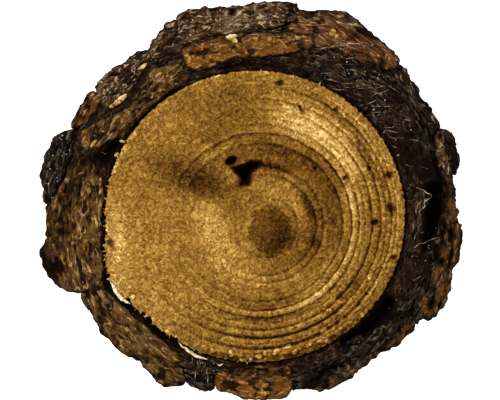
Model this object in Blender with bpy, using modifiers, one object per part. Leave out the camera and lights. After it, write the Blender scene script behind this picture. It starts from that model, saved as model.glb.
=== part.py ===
"""A slice sawn across a small pine log, lying on its underside with the other sawn face up.

It has two bodies. The wood is a disc with growth rings and a rotted pocket. The bark is a thick
ring of cracked plates, grown together on a core of inner bark that lies back from both sawn faces.
The scale is metres, with +Z up. The origin is on the underside, below the middle of the wood.
"""

import math

import bmesh
import bpy
from mathutils import Vector, geometry, noise

MM = 0.001

# Driving dimensions of the slice
THICKNESS = 22 * MM
WOOD_RADIUS = 49.5 * MM
WOOD_OVAL = 0.7 * MM
WOOD_LEAN = 0.4 * MM
WOOD_LEAN_ANGLE = math.radians(150)
WOOD_BULGE = 2.8 * MM
WOOD_BULGE_ANGLE = math.radians(203)
WOOD_BULGE_SPREAD = math.radians(12)
BARK_CLEARANCE = 0.35 * MM

# The wood: its pith lies off the middle, and the sawn face is a little sunk along the growth rings
PITH = Vector((4.3 * MM, -4.3 * MM))
ROUND_STEPS = 96
RING_SHARES = (0.18, 0.30, 0.44, 0.58, 0.68, 0.77, 0.86, 0.94)
RING_GROOVE_WIDTH = 1.1 * MM
RING_GROOVE_DEPTH = 0.4 * MM
WOOD_EDGE_CHAMFER = 0.7 * MM
UNDERSIDE_CHAMFER = 0.4 * MM

# The rotted pocket and the pinhole beside it, as outlines on the sawn face in millimetres
POCKET_OUTLINE = (
    (-7.7, 16.3), (-5.8, 14.2), (-4.4, 12.3), (-2.6, 11.0), (-2.2, 13.2), (-1.2, 15.5),
    (0.4, 16.6), (1.6, 18.0), (-1.2, 18.4), (-3.4, 17.7), (-5.6, 16.9),
)
POCKET_DEPTH = 12 * MM
POCKET_FLOOR_SHARE = 0.45
PINHOLE_CENTRE = Vector((-8.0 * MM, 18.8 * MM))
PINHOLE_RADIUS = 1.1 * MM
PINHOLE_DEPTH = 5 * MM

# The core of inner bark that joins the plates: an ellipse, back from both sawn faces
CORE_CENTRE = Vector((-1.5 * MM, 5.0 * MM))
CORE_HALF_WIDTH = 64.5 * MM
CORE_HALF_HEIGHT = 60.5 * MM
CORE_TOP_BELOW = 4 * MM
CORE_BOTTOM_ABOVE = 3.5 * MM
CORE_STEPS = 48

# The bark's plates. Each has how far its sawn face lies below the saw's plane at its inner and at
# its outer side, and its outline as the sawn face shows it, all in millimetres.
BARK_PLATES = {
    "crown": (0.6, 2.6, (
        (-26.5, 67.5), (-22.5, 69.0), (-11.0, 69.5), (-1.5, 70.5), (5.0, 72.0), (11.0, 72.0),
        (13.5, 69.8), (13.5, 66.5), (2.0, 62.5), (-5.5, 62.5), (-13.5, 61.0), (-25.5, 58.0),
    )),
    "crown_inner": (0.0, 0.4, (
        (-24.5, 56.0), (-19.5, 57.5), (-5.5, 61.0), (2.0, 61.0), (18.5, 60.0), (19.5, 57.0),
        (10.0, 53.5), (2.0, 52.5), (-8.0, 52.0), (-14.0, 50.0), (-20.0, 49.0), (-23.5, 51.0),
    )),
    "rusty_shoulder": (0.4, 2.4, (
        (14.0, 66.8), (16.5, 69.0), (26.5, 69.0), (30.5, 68.0), (34.5, 64.5), (42.5, 59.0),
        (48.0, 54.0), (47.0, 50.5), (43.5, 51.0), (38.0, 56.0), (32.5, 57.5), (25.5, 56.5),
        (20.5, 57.0), (19.5, 60.5), (12.5, 60.8), (10.6, 62.6),
    )),
    "dark_right": (0.8, 1.8, (
        (15.5, 47.5), (18.5, 52.0), (24.5, 55.0), (30.5, 55.0), (39.5, 51.0), (45.5, 46.5),
        (51.5, 39.0), (56.0, 31.0), (59.5, 25.5), (60.5, 16.0), (61.0, 12.5), (56.0, 11.0),
        (50.5, 10.0), (49.0, 14.0), (44.5, 25.0), (34.0, 37.0), (20.5, 45.5),
    )),
    "right_rim": (1.2, 2.8, (
        (44.5, 50.0), (48.3, 51.5), (53.0, 43.8), (56.5, 38.0), (60.5, 32.5), (61.5, 29.5),
        (59.5, 27.0), (52.0, 39.0), (46.2, 47.2),
    )),
    "right_knuckle": (1.0, 3.4, (
        (61.5, 29.8), (65.5, 26.5), (67.2, 23.0), (67.2, 19.0), (66.5, 15.5), (64.5, 13.5),
        (61.5, 13.5), (60.8, 19.0), (60.0, 26.0),
    )),
    "right_low": (0.6, 2.6, (
        (63.0, 13.0), (66.5, 13.5), (67.0, 5.5), (67.6, 0.0), (69.0, -6.5), (68.2, -10.5),
        (67.7, -15.5), (65.6, -16.8), (65.2, -23.5), (63.5, -28.0), (61.5, -31.5), (58.0, -33.7),
        (52.0, -33.0), (48.0, -30.0), (47.0, -26.5), (49.0, -20.5), (52.5, -15.0), (57.5, -11.0),
        (60.8, -5.0), (62.6, 2.5),
    )),
    "grey_wedge": (1.4, 2.2, (
        (50.8, 9.0), (54.5, 9.5), (58.3, 7.5), (56.2, 4.0), (55.0, -1.0), (53.5, -6.0),
        (52.0, -13.0), (49.5, -14.5), (50.0, -2.5),
    )),
    "dark_low": (1.6, 3.0, (
        (53.0, -35.8), (51.5, -38.5), (46.5, -42.5), (41.0, -44.7), (38.0, -48.7), (33.5, -51.7),
        (29.5, -55.2), (26.5, -57.0), (21.0, -58.0), (12.8, -57.2), (12.8, -50.5), (22.0, -46.0),
        (29.0, -41.5), (35.5, -38.5), (42.5, -36.5), (49.5, -34.8),
    )),
    "amber_foot": (0.6, 1.6, (
        (11.8, -57.5), (9.5, -60.7), (2.0, -60.8), (-4.5, -60.2), (-6.5, -58.7), (-13.3, -58.0),
        (-14.0, -54.5), (-12.5, -51.0), (-2.0, -49.5), (11.6, -50.0),
    )),
    "split_foot": (1.8, 2.8, (
        (-23.0, -47.0), (-18.5, -48.0), (-14.0, -49.0), (-14.6, -53.5), (-14.2, -57.8),
        (-17.5, -57.7), (-21.5, -56.0), (-23.5, -52.5),
    )),
    "brown_low": (0.0, 1.6, (
        (-24.0, -55.7), (-28.5, -56.7), (-32.0, -54.7), (-36.5, -50.7), (-38.5, -48.2),
        (-46.0, -44.7), (-51.5, -39.7), (-53.2, -34.5), (-57.5, -28.7), (-59.0, -26.0),
        (-51.0, -24.5), (-47.0, -29.5), (-42.0, -34.5), (-31.5, -43.0), (-26.0, -47.0),
        (-24.5, -51.5),
    )),
    "left_foot": (0.2, 2.0, (
        (-60.0, -25.2), (-64.0, -25.2), (-68.0, -21.2), (-71.6, -16.0), (-72.2, -11.5),
        (-70.0, -8.0), (-64.5, -7.2), (-52.0, -8.8), (-50.0, -19.0), (-53.0, -23.8),
    )),
    "left_middle": (0.4, 1.8, (
        (-70.0, -7.2), (-69.8, 0.0), (-69.2, 4.0), (-66.5, 8.5), (-64.0, 12.5), (-61.5, 17.5),
        (-59.5, 21.5), (-50.0, 20.5), (-46.5, 18.0), (-48.0, 10.5), (-50.0, 3.0), (-51.0, -7.0),
        (-64.0, -6.6),
    )),
    "left_dark": (1.8, 4.6, (
        (-69.2, 4.5), (-70.8, 6.5), (-71.2, 11.0), (-72.6, 14.0), (-70.7, 19.5), (-68.2, 25.5),
        (-65.2, 28.2), (-60.6, 29.2), (-60.8, 23.5), (-62.4, 18.5), (-64.8, 13.5), (-67.5, 9.0),
    )),
    "left_chip": (1.0, 2.2, (
        (-61.0, 30.4), (-60.2, 33.2), (-59.2, 36.2), (-56.7, 40.7), (-54.2, 41.7), (-52.8, 39.0),
        (-53.4, 35.5), (-55.6, 32.4),
    )),
    "flake": (0.2, 2.4, (
        (-53.5, 42.3), (-52.7, 46.2), (-49.2, 49.7), (-43.2, 52.2), (-38.7, 55.2), (-36.2, 55.8),
        (-36.8, 52.5), (-40.2, 49.5), (-42.6, 45.5), (-45.0, 41.5), (-50.8, 37.5), (-52.5, 38.5),
    )),
    "left_shoulder": (1.4, 3.2, (
        (-36.0, 56.2), (-32.7, 60.7), (-29.8, 64.7), (-26.0, 65.8), (-26.0, 58.0), (-25.2, 53.0),
        (-32.5, 52.2), (-35.8, 53.0),
    )),
    "left_inner": (1.0, 0.6, (
        (-58.5, 29.0), (-54.5, 31.8), (-51.5, 36.2), (-45.5, 39.5), (-42.0, 43.5), (-39.5, 48.5),
        (-35.5, 51.5), (-25.5, 51.5), (-22.5, 47.5), (-24.0, 43.0), (-36.5, 33.0), (-45.0, 21.0),
        (-49.5, 21.5), (-54.0, 22.8), (-59.5, 23.5),
    )),
}

# How the plates are cut: the levels are shares of the height from the underside to the sawn face,
# and the spacings are those of the points along a rim and over a face
PLATE_LEVELS = (0.0, 0.06, 0.3, 0.55, 0.8, 0.95, 1.0)
PLATE_SPACINGS = 2.7 * MM, 3.7 * MM
CORE_SPACINGS = 9 * MM, 9 * MM
ROW_STEP = 0.87
CLEAR_OF_RIM = 0.62
FURROW_HALF_WIDTH = 0.1 * MM
PLATE_EDGE_WEAR = 0.7 * MM

# The bark's roughness: how far it reaches, and how long its lumps are
OUTER_RELIEF = 1.1 * MM
INNER_RELIEF = 0.4 * MM
TORN_RELIEF = 0.9 * MM
UNDERSIDE_RELIEF = 0.5 * MM
LUMP_LENGTH = 4 * MM
LUMP_STRETCH = 2.5
NOISE_GAIN = 1.6


def wood_radius(angle):
    """The wood's outline: a slight oval, with a bulge at the lower left where bast clings to it."""
    oval = WOOD_OVAL * math.cos(2 * angle) + WOOD_LEAN * math.cos(angle - WOOD_LEAN_ANGLE)
    off_bulge = math.remainder(angle - WOOD_BULGE_ANGLE, math.tau) / WOOD_BULGE_SPREAD
    return WOOD_RADIUS + oval + WOOD_BULGE * math.exp(-off_bulge * off_bulge)


def finish_of(name, colour, roughness):
    """A plain matt finish."""
    material = bpy.data.materials.new(name)
    material.use_nodes = True
    shader = material.node_tree.nodes["Principled BSDF"]
    shader.inputs["Base Color"].default_value = (*colour, 1)
    shader.inputs["Roughness"].default_value = roughness
    shader.inputs["Metallic"].default_value = 0.0
    return material


def add_object(name, mesh, collection):
    """A new object of this mesh, in this collection."""
    made = bpy.data.objects.new(name, mesh)
    collection.objects.link(made)
    return made


def mesh_object(name, shape, collection):
    """A new object from a bmesh, with its faces pointing out."""
    bmesh.ops.recalc_face_normals(shape, faces=shape.faces)
    mesh = bpy.data.meshes.new(name)
    shape.to_mesh(mesh)
    shape.free()
    return add_object(name, mesh, collection)


def apply_modifiers(made):
    """Makes the object's mesh the one that its modifiers give."""
    graph = bpy.context.evaluated_depsgraph_get()
    finished = bpy.data.meshes.new_from_object(made.evaluated_get(graph))
    made.modifiers.clear()
    made.data = finished


def boolean(made, operation, solver, other=None, collection=None):
    """A Boolean modifier with one object, or with all the objects of a collection."""
    modifier = made.modifiers.new(operation.title(), "BOOLEAN")
    modifier.operation = operation
    modifier.solver = solver
    if collection:
        modifier.operand_type = "COLLECTION"
        modifier.collection = collection
    else:
        modifier.object = other


def keep_main_body(made):
    """Drops the loose chips that a cut leaves, and fills the pockets that it seals in."""
    shape = bmesh.new()
    shape.from_mesh(made.data)
    unseen = set(shape.verts)
    bodies = []
    while unseen:
        front = [unseen.pop()]
        body = list(front)
        while front:
            around = {edge.other_vert(vert) for vert in front for edge in vert.link_edges}
            front = list(around & unseen)
            unseen.difference_update(front)
            body += front
        bodies.append(body)
    bodies.sort(key=len)
    for body in bodies[:-1]:
        bmesh.ops.delete(shape, geom=body, context="VERTS")
    shape.to_mesh(made.data)
    shape.free()


# The wood

def ring_profile():
    """Half of the disc's section, from the pith on the sawn face out, down and back to the axis."""
    half_groove = RING_GROOVE_WIDTH / 2
    points = [(0.0, THICKNESS)]
    for share in RING_SHARES:
        middle = share * WOOD_RADIUS
        points += [
            (middle - half_groove, THICKNESS),
            (middle, THICKNESS - RING_GROOVE_DEPTH),
            (middle + half_groove, THICKNESS),
        ]
    points += [
        (WOOD_RADIUS - WOOD_EDGE_CHAMFER, THICKNESS),
        (WOOD_RADIUS, THICKNESS - WOOD_EDGE_CHAMFER),
        (WOOD_RADIUS, UNDERSIDE_CHAMFER),
        (WOOD_RADIUS - UNDERSIDE_CHAMFER, 0.0),
        (0.0, 0.0),
    ]
    return points


def turned_disc(collection):
    """The profile turned about the Z axis by a Screw modifier."""
    points = [(x, 0.0, z) for x, z in ring_profile()]
    mesh = bpy.data.meshes.new("wood")
    mesh.from_pydata(points, [(i, i + 1) for i in range(len(points) - 1)], [])
    disc = add_object("wood", mesh, collection)
    turn = disc.modifiers.new("Turn", "SCREW")
    turn.steps = ROUND_STEPS
    turn.render_steps = ROUND_STEPS
    turn.use_merge_vertices = True
    turn.merge_threshold = 0.00001
    return disc


def grow_off_centre(disc):
    """Takes the turned rings out of true, so that they crowd where the pith is near the bark."""
    for vertex in disc.data.vertices:
        x, y, _ = vertex.co
        share = math.hypot(x, y) / WOOD_RADIUS
        angle = math.atan2(y, x)
        reach = share * wood_radius(angle)
        vertex.co.x = PITH.x * (1 - share) + reach * math.cos(angle)
        vertex.co.y = PITH.y * (1 - share) + reach * math.sin(angle)


def pocket_cutter(collection):
    """The rotted pocket: its outline on the sawn face, drawn in to a small floor."""
    outline = [Vector(point) * MM for point in POCKET_OUTLINE]
    middle = sum(outline, Vector((0, 0))) / len(outline)
    shape = bmesh.new()
    rims = []
    for height, share in ((THICKNESS + 1 * MM, 1.05), (THICKNESS - POCKET_DEPTH, POCKET_FLOOR_SHARE)):
        spots = [middle.lerp(point, share) for point in outline]
        rims.append([shape.verts.new((*spot, height)) for spot in spots])
    for rim in rims:
        shape.faces.new(rim)
    for i in range(len(outline)):
        shape.faces.new((rims[0][i - 1], rims[0][i], rims[1][i], rims[1][i - 1]))
    return mesh_object("pocket_cutter", shape, collection)


def pinhole_cutter(collection):
    """The small round hole beside the pocket."""
    shape = bmesh.new()
    bmesh.ops.create_cone(
        shape, cap_ends=True, segments=12, radius1=PINHOLE_RADIUS, radius2=PINHOLE_RADIUS,
        depth=2 * PINHOLE_DEPTH,
    )
    bmesh.ops.translate(shape, vec=(*PINHOLE_CENTRE, THICKNESS), verts=shape.verts)
    return mesh_object("pinhole_cutter", shape, collection)


def make_wood(parts, cutters):
    """The disc of wood, with its rings, its pocket and its pinhole."""
    disc = turned_disc(parts)
    apply_modifiers(disc)
    grow_off_centre(disc)
    for cutter in (pocket_cutter(cutters), pinhole_cutter(cutters)):
        boolean(disc, "DIFFERENCE", "EXACT", other=cutter)
    apply_modifiers(disc)
    disc.data.materials.clear()
    disc.data.materials.append(finish_of("wood", (0.52, 0.35, 0.14), 0.85))
    return disc


# The bark

def evenly_spaced(outline, spacing):
    """Points along a closed outline, its corners kept and its long sides divided."""
    points = []
    for i, end in enumerate(outline):
        start = outline[i - 1]
        parts = max(1, round((end - start).length / spacing))
        points += [start.lerp(end, k / parts) for k in range(parts)]
    return points


def outward_normals(points):
    """The direction out of a closed outline at each of its points, in the outline's own plane."""
    twice_area = sum(points[i - 1].cross(points[i]) for i in range(len(points)))
    turn = 1 if twice_area > 0 else -1
    normals = []
    for i in range(len(points)):
        along = points[(i + 1) % len(points)] - points[i - 1]
        normals.append(turn * Vector((along.y, -along.x)).normalized())
    return normals


def rough(spot, height, seed):
    """Smooth noise from about -1 to 1, in lumps that are drawn out along the log's axis."""
    place = Vector((*spot, height / LUMP_STRETCH)) / LUMP_LENGTH
    return NOISE_GAIN * noise.noise(place + Vector((seed, 2 * seed, -seed)))


def face_points(rim, spacing):
    """Points spread over the inside of a closed rim, clear of it, in staggered rows."""
    low_x, high_x = min(p.x for p in rim), max(p.x for p in rim)
    low_y, high_y = min(p.y for p in rim), max(p.y for p in rim)
    found = []
    for row in range(int((high_y - low_y) / (ROW_STEP * spacing)) + 1):
        for column in range(int((high_x - low_x) / spacing) + 1):
            spot = Vector((
                low_x + (column + 0.5 * (row % 2)) * spacing,
                low_y + (row + 0.5) * ROW_STEP * spacing,
            ))
            clear = min((spot - point).length for point in rim) > CLEAR_OF_RIM * spacing
            if clear and inside(spot, rim):
                found.append(spot)
    return found


def inside(spot, rim):
    """Whether a point lies inside a closed outline, by the crossings of a line to the right."""
    crossings = 0
    for i, end in enumerate(rim):
        start = rim[i - 1]
        if (start.y > spot.y) != (end.y > spot.y):
            at_x = start.x + (spot.y - start.y) / (end.y - start.y) * (end.x - start.x)
            crossings += at_x > spot.x
    return crossings % 2 == 1


class Plate:
    """One plate of bark: a stack of rims from its underside to its sawn face, closed by rough faces."""

    def __init__(self, name, seed, drops, outline, underside=0.0, spacings=PLATE_SPACINGS):
        self.name = name
        self.seed = seed
        self.drops = [drop * MM for drop in drops]
        self.underside = underside
        rim_spacing, self.face_spacing = spacings
        self.points = evenly_spaced([Vector(point) * MM for point in outline], rim_spacing)
        self.normals = outward_normals(self.points)
        reach = [point.length for point in self.points]
        self.near, self.far = min(reach), max(reach)

    def sawn_height(self, spot):
        """Where the torn upper face lies: it falls from the plate's inner side to its outer side."""
        share = min(1.0, max(0.0, (spot.length - self.near) / (self.far - self.near)))
        drop = self.drops[0] + (self.drops[1] - self.drops[0]) * share
        torn = TORN_RELIEF * abs(rough(spot, THICKNESS, self.seed))
        return THICKNESS - drop - torn

    def underside_height(self, spot):
        """Where the sawn underside lies: it touches the surface below only at its lowest spots."""
        return self.underside + UNDERSIDE_RELIEF * abs(rough(spot, 0.0, self.seed))

    def rim(self, level):
        """The outline at one level, worn back at both faces and roughened between them."""
        worn = PLATE_EDGE_WEAR if level in (0.0, 1.0) else 0.0
        spots = []
        for point, normal in zip(self.points, self.normals):
            faces_out = max(0.0, normal.dot(point.normalized()))
            relief = INNER_RELIEF + (OUTER_RELIEF - INNER_RELIEF) * faces_out
            push = relief * rough(point, level * THICKNESS, self.seed)
            furrow = FURROW_HALF_WIDTH * (1 - faces_out)
            spots.append(point + normal * (push - furrow - worn))
        return spots

    def height(self, spot, level):
        low, high = self.underside_height(spot), self.sawn_height(spot)
        return low + level * (high - low)

    def add_face(self, shape, rim, corners, level):
        """Closes one end with even triangles over the rim's inside."""
        middle = face_points(rim, self.face_spacing)
        sides = [(i - 1, i) if i else (len(rim) - 1, 0) for i in range(len(rim))]
        flat, _, faces, origins, _, _ = geometry.delaunay_2d_cdt(rim + middle, sides, [], 1, 1e-7)
        placed = []
        for spot, origin in zip(flat, origins):
            on_rim = [k for k in origin if k < len(rim)]
            height = self.height(spot, level)
            placed.append(corners[on_rim[0]] if on_rim else shape.verts.new((*spot, height)))
        for face in faces:
            shape.faces.new([placed[k] for k in face])

    def solid(self, collection):
        """The closed plate, as an object in the collection."""
        shape = bmesh.new()
        stack = []
        for level in PLATE_LEVELS:
            rim = self.rim(level)
            stack.append([shape.verts.new((*spot, self.height(spot, level))) for spot in rim])
            if level in (0.0, 1.0):
                self.add_face(shape, rim, stack[-1], level)
        for below, above in zip(stack, stack[1:]):
            for i in range(len(below)):
                shape.faces.new((below[i - 1], below[i], above[i], above[i - 1]))
        return mesh_object(self.name, shape, collection)


def core_outline():
    """The ellipse that the inner bark fills, in millimetres."""
    spots = []
    for step in range(CORE_STEPS):
        angle = math.tau * step / CORE_STEPS
        spots.append((
            (CORE_CENTRE.x + CORE_HALF_WIDTH * math.cos(angle)) / MM,
            (CORE_CENTRE.y + CORE_HALF_HEIGHT * math.sin(angle)) / MM,
        ))
    return spots


def wood_clearance_cutter(collection):
    """A prism a little larger than the wood, which opens the bark for it."""
    spots = []
    for step in range(ROUND_STEPS):
        angle = math.tau * step / ROUND_STEPS
        reach = wood_radius(angle) + BARK_CLEARANCE
        spots.append((reach * math.cos(angle), reach * math.sin(angle), -1 * MM))
    shape = bmesh.new()
    floor = shape.faces.new([shape.verts.new(spot) for spot in spots])
    lid = bmesh.ops.extrude_face_region(shape, geom=[floor], use_keep_orig=True)
    raised = [item for item in lid["geom"] if isinstance(item, bmesh.types.BMVert)]
    bmesh.ops.translate(shape, vec=(0, 0, THICKNESS + 2 * MM), verts=raised)
    return mesh_object("wood_clearance_cutter", shape, collection)


def make_bark(parts, plates, cutters):
    """The ring of bark: the core and its plates joined, then opened for the wood."""
    bark = Plate(
        "bark", 0.5, (CORE_TOP_BELOW / MM, CORE_TOP_BELOW / MM), core_outline(),
        underside=CORE_BOTTOM_ABOVE, spacings=CORE_SPACINGS,
    ).solid(parts)
    for number, (name, (inner_drop, outer_drop, outline)) in enumerate(BARK_PLATES.items()):
        Plate(name, 1.7 * number + 3, (inner_drop, outer_drop), outline).solid(plates)
    boolean(bark, "UNION", "MANIFOLD", collection=plates)
    boolean(bark, "DIFFERENCE", "MANIFOLD", other=wood_clearance_cutter(cutters))
    apply_modifiers(bark)
    keep_main_body(bark)
    for plate in list(plates.objects):
        bpy.data.objects.remove(plate)
    bark.data.materials.clear()
    bark.data.materials.append(finish_of("bark", (0.10, 0.062, 0.034), 0.9))
    return bark


def new_collection(name):
    made = bpy.data.collections.new(name)
    bpy.context.scene.collection.children.link(made)
    return made


def main():
    for old in list(bpy.data.objects):
        bpy.data.objects.remove(old)
    parts = new_collection("wood_slice")
    plates = new_collection("bark_plates")
    cutters = new_collection("cutters")
    make_wood(parts, cutters)
    make_bark(parts, plates, cutters)
    for cutter in cutters.objects:
        cutter.hide_render = True
        cutter.display_type = "WIRE"


main()
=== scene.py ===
"""The looks of a slice sawn across a small pine log, seen from straight above.

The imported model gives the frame. A finer disc of wood stands for its node wood. Finer plates of
bark and the inner bark between them stand for its node bark.
"""

import math

import bmesh
import bpy
import numpy as np
from mathutils import Matrix, Vector, geometry, noise


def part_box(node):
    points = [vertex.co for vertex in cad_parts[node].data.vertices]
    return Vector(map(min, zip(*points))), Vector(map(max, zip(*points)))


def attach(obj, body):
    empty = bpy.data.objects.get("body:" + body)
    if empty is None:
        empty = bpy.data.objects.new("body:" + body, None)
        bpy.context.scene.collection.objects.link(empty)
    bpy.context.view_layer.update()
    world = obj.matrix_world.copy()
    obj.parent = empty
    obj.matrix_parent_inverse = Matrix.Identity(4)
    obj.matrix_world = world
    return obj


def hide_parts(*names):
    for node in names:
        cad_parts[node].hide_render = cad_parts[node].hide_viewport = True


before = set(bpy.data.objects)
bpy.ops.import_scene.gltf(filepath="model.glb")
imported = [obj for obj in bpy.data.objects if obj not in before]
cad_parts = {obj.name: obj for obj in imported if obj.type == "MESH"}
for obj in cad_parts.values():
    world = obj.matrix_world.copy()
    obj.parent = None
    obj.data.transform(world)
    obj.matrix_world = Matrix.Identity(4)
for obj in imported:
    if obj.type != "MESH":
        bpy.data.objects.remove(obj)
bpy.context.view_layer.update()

# The camera
# The picture looks straight down on the sawn face of the slice, which lies flat. It is 500 pixels
# wide, and a pixel is a third of a millimetre on the sawn face, so a long lens high up frames it.
MM = 0.001
PICTURE_WIDTH = 500 / 3 * MM
PICTURE_CENTRE = Vector((-2.0, 5.67)) * MM
LENS = 180
SENSOR_WIDTH = 36
SAWN_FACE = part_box("wood")[1][2]

lens = bpy.data.cameras.new("overhead_lens")
lens.lens = LENS
lens.sensor_width = SENSOR_WIDTH
lens.clip_start = 0.01
lens.clip_end = 10
overhead = bpy.data.objects.new("overhead_camera", lens)
overhead.location = (*PICTURE_CENTRE, SAWN_FACE + PICTURE_WIDTH * LENS / SENSOR_WIDTH)
bpy.context.scene.collection.objects.link(overhead)
bpy.context.scene.camera = overhead

# The wood
# One disc of sapwood and heart, sawn off square. The blade left the face crinkled, the softer
# wood of each year's growth a little sunk, and a rotted pocket and beetle holes open in it.
WOOD_RADIUS = 49.5 * MM
WOOD_OVAL = 0.7 * MM
WOOD_LEAN = 0.4 * MM
WOOD_LEAN_ANGLE = math.radians(150)
WOOD_BULGE = 2.8 * MM
WOOD_BULGE_ANGLE = math.radians(203)
WOOD_BULGE_SPREAD = math.radians(12)
PITH = np.array((4.3, -4.3)) * MM
DISC_CELLS = 280
SIDE_LEVELS = (0.0, 0.35, 0.9, 2.5, 5.5, 9.0, 13.0, 17.0, 20.0, 21.6)
UNDERSIDE_SPACING = 1.5 * MM
# How far the rim of the sawn face is broken back, and where it tore deeper
RAGGED_RIM = 0.5 * MM
TORN_RIM = 2.6 * MM
TORN_RIM_ANGLE = math.radians(212)
TORN_RIM_SPREAD = math.radians(30)
# How long the notches of the rim are, and how far its edges and its side are worn
RAGGED_LENGTH = 1.2 * MM
TORN_LENGTH = 2.2 * MM
RIM_WEAR = 0.45 * MM
LOW_EDGE_WEAR = 0.3 * MM
SIDE_ROUGHNESS = 0.25 * MM
# The sides of the log, as directions from the pith: where its rings show best, where they show
# again near the heart, where false rings lie between them, and where its rim is pale. The false
# rings stray a little from one radian to the next.
CLEAR_SIDE = math.radians(-18)
HIGH_SIDE = math.radians(98)
FALSE_RING_SIDE = math.radians(-72)
FALSE_RING_DRIFT = 0.031
PALE_RIM_SIDE = math.radians(-80)
# How deep the saw left the softer rings, the cells and the crinkles between them
RING_DEPTH = 0.25 * MM
FALSE_RING_DEPTH = 0.25 * MM
CELL_LENGTH = 1.2 * MM
CELL_DEPTH = 0.12 * MM
CRINKLE_LENGTH = 1.7 * MM
CRINKLE_DEPTH = 0.14 * MM
ROUGHNESS = 0.07 * MM
UNDERSIDE_DEPTH = 0.3 * MM
# Tones run from 0, black, to 1, cream. The colours are those that each tone has on dry wood.
WOOD_TONE = 0.498
SIDE_TONE = 0.42
SIDE_REDNESS = 0.1
WOOD_COLOURS = (
    (0.00, (0.012, 0.004, 0.001)), (0.15, (0.052, 0.019, 0.002)), (0.30, (0.112, 0.047, 0.006)),
    (0.45, (0.200, 0.095, 0.013)), (0.58, (0.300, 0.153, 0.025)), (0.72, (0.430, 0.243, 0.055)),
    (0.88, (0.600, 0.380, 0.115)), (1.00, (0.760, 0.530, 0.210)),
)
REDDENING = (0.42, 0.20, 0.08)
# The finest marks of the saw, as how many lie on a metre, and how high they stand
RIDGE_SCALE = 350
FURROW_SCALE = 420
GRIT_SCALE = 1150
CRINKLE_RELIEF = 0.19 * MM
# How much light dry wood and bark throw back like a mirror
SHEEN = 0.02

# Each year's dark line: its share of the way from the pith to the bark, half its width, and how
# dark it is where the rings show best and where they hardly show. The pale wood after a line
# darkens again within a share of PALE_WOOD.
PALE_WOOD = 0.030
YEAR_LINES = (
    (0.205, 0.012, 0.16, 0.05), (0.345, 0.010, 0.22, 0.05), (0.400, 0.010, 0.20, 0.04),
    (0.540, 0.010, 0.24, 0.05), (0.606, 0.008, 0.42, 0.06), (0.660, 0.008, 0.30, 0.04),
    (0.705, 0.006, 0.16, 0.03), (0.756, 0.008, 0.36, 0.05), (0.820, 0.007, 0.28, 0.04),
    (0.862, 0.005, 0.18, 0.02), (0.900, 0.006, 0.28, 0.04), (0.934, 0.005, 0.22, 0.02),
)
# Broad tones on the sawn face, in millimetres: the middle, the half length, the half width, the
# tilt in degrees, and how much lighter (above 0) or darker the wood is there
BROAD_TONES = (
    (9.5, -8.0, 3.0, 5.0, -30, -0.08),
    (4.0, -12.5, 5.0, 3.0, 15, -0.10),
    (15.6, 0.4, 5.6, 2.9, -55, 0.02),
    (14.6, 2.4, 5.0, 1.3, -56, 0.11),
    (17.1, 3.4, 6.5, 1.4, -60, -0.12),
    (17.0, -11.5, 6.5, 5.0, -40, -0.15),
    (8.8, -7.4, 2.6, 4.0, -20, -0.16),
    (0.6, -1.6, 2.6, 4.0, 0, 0.12),
    (14.0, 31.5, 12.0, 5.5, -28, 0.28),
    (26.5, 22.5, 11.0, 4.2, -50, 0.27),
    (32.0, 7.0, 13.0, 3.2, -78, 0.12),
    (36.0, 22.0, 13.0, 1.4, -64, -0.20),
    (26.0, 35.0, 9.0, 1.3, -40, -0.18),
    (-6.0, 38.0, 17.0, 8.0, 8, -0.13),
    (-14.5, -3.0, 5.0, 13.0, 12, 0.19),
    (-6.5, -1.0, 2.6, 9.0, 8, -0.05),
    (-4.0, -17.5, 10.0, 5.0, -30, 0.10),
    (10.0, 21.0, 26.0, 6.5, -12, -0.17),
    (23.0, 3.0, 6.5, 14.0, 8, -0.19),
    (19.8, -8.0, 1.6, 2.6, 0, -0.24),
    (-20.5, 12.6, 15.0, 5.8, -22, -0.29),
    (-18.0, 10.0, 6.5, 3.8, -20, -0.13),
    (22.0, -22.0, 14.0, 5.0, 45, 0.17),
    (-46.5, -10.0, 3.6, 12.0, 4, 0.20),
    (-40.0, -16.0, 6.0, 18.0, 5, 0.05),
    (-30.0, 28.0, 16.0, 10.0, 40, -0.02),
    (10.0, -36.0, 26.0, 9.0, 8, -0.09),
    (36.0, -22.0, 8.0, 14.0, -30, -0.05),
    (40.0, -3.0, 6.0, 13.0, 0, -0.14),
)
# Swollen pale cells near the rim at the bottom, in millimetres: the middle, the half length, the
# half width and the tilt
CREAM_CELLS = (
    (-4.8, -48.0, 1.1, 0.8, 20), (-1.9, -48.1, 0.6, 1.0, 0), (0.9, -46.5, 1.1, 0.7, 10),
    (1.5, -48.5, 1.4, 0.5, 0), (2.9, -45.4, 0.6, 0.9, 0), (6.9, -44.8, 1.2, 0.8, 35),
    (10.5, -43.1, 1.1, 0.6, 30), (12.9, -45.2, 0.8, 0.8, 0), (-8.4, -45.5, 0.7, 1.2, 10),
    (9.0, -47.0, 0.9, 0.6, 60), (22.5, -37.8, 1.3, 0.6, 40), (17.5, -42.6, 1.2, 0.6, 30),
    (28.5, -34.5, 1.1, 0.6, 50), (-14.5, -44.5, 0.9, 0.6, -40), (38.0, -20.0, 1.2, 0.6, 60),
    (-41.3, -26.7, 0.9, 0.7, 40),
)
# The rotted pocket, in millimetres on the sawn face, and how deep it goes
POCKET_OUTLINE = (
    (-7.7, 16.3), (-5.8, 14.2), (-4.4, 12.3), (-2.6, 11.0), (-2.2, 13.2), (-1.2, 15.5),
    (0.4, 16.6), (1.6, 18.0), (-1.2, 18.4), (-3.4, 17.7), (-5.6, 16.9),
)
POCKET_DEPTH = 10 * MM
DEEPEST = POCKET_DEPTH + 5 * MM
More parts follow.
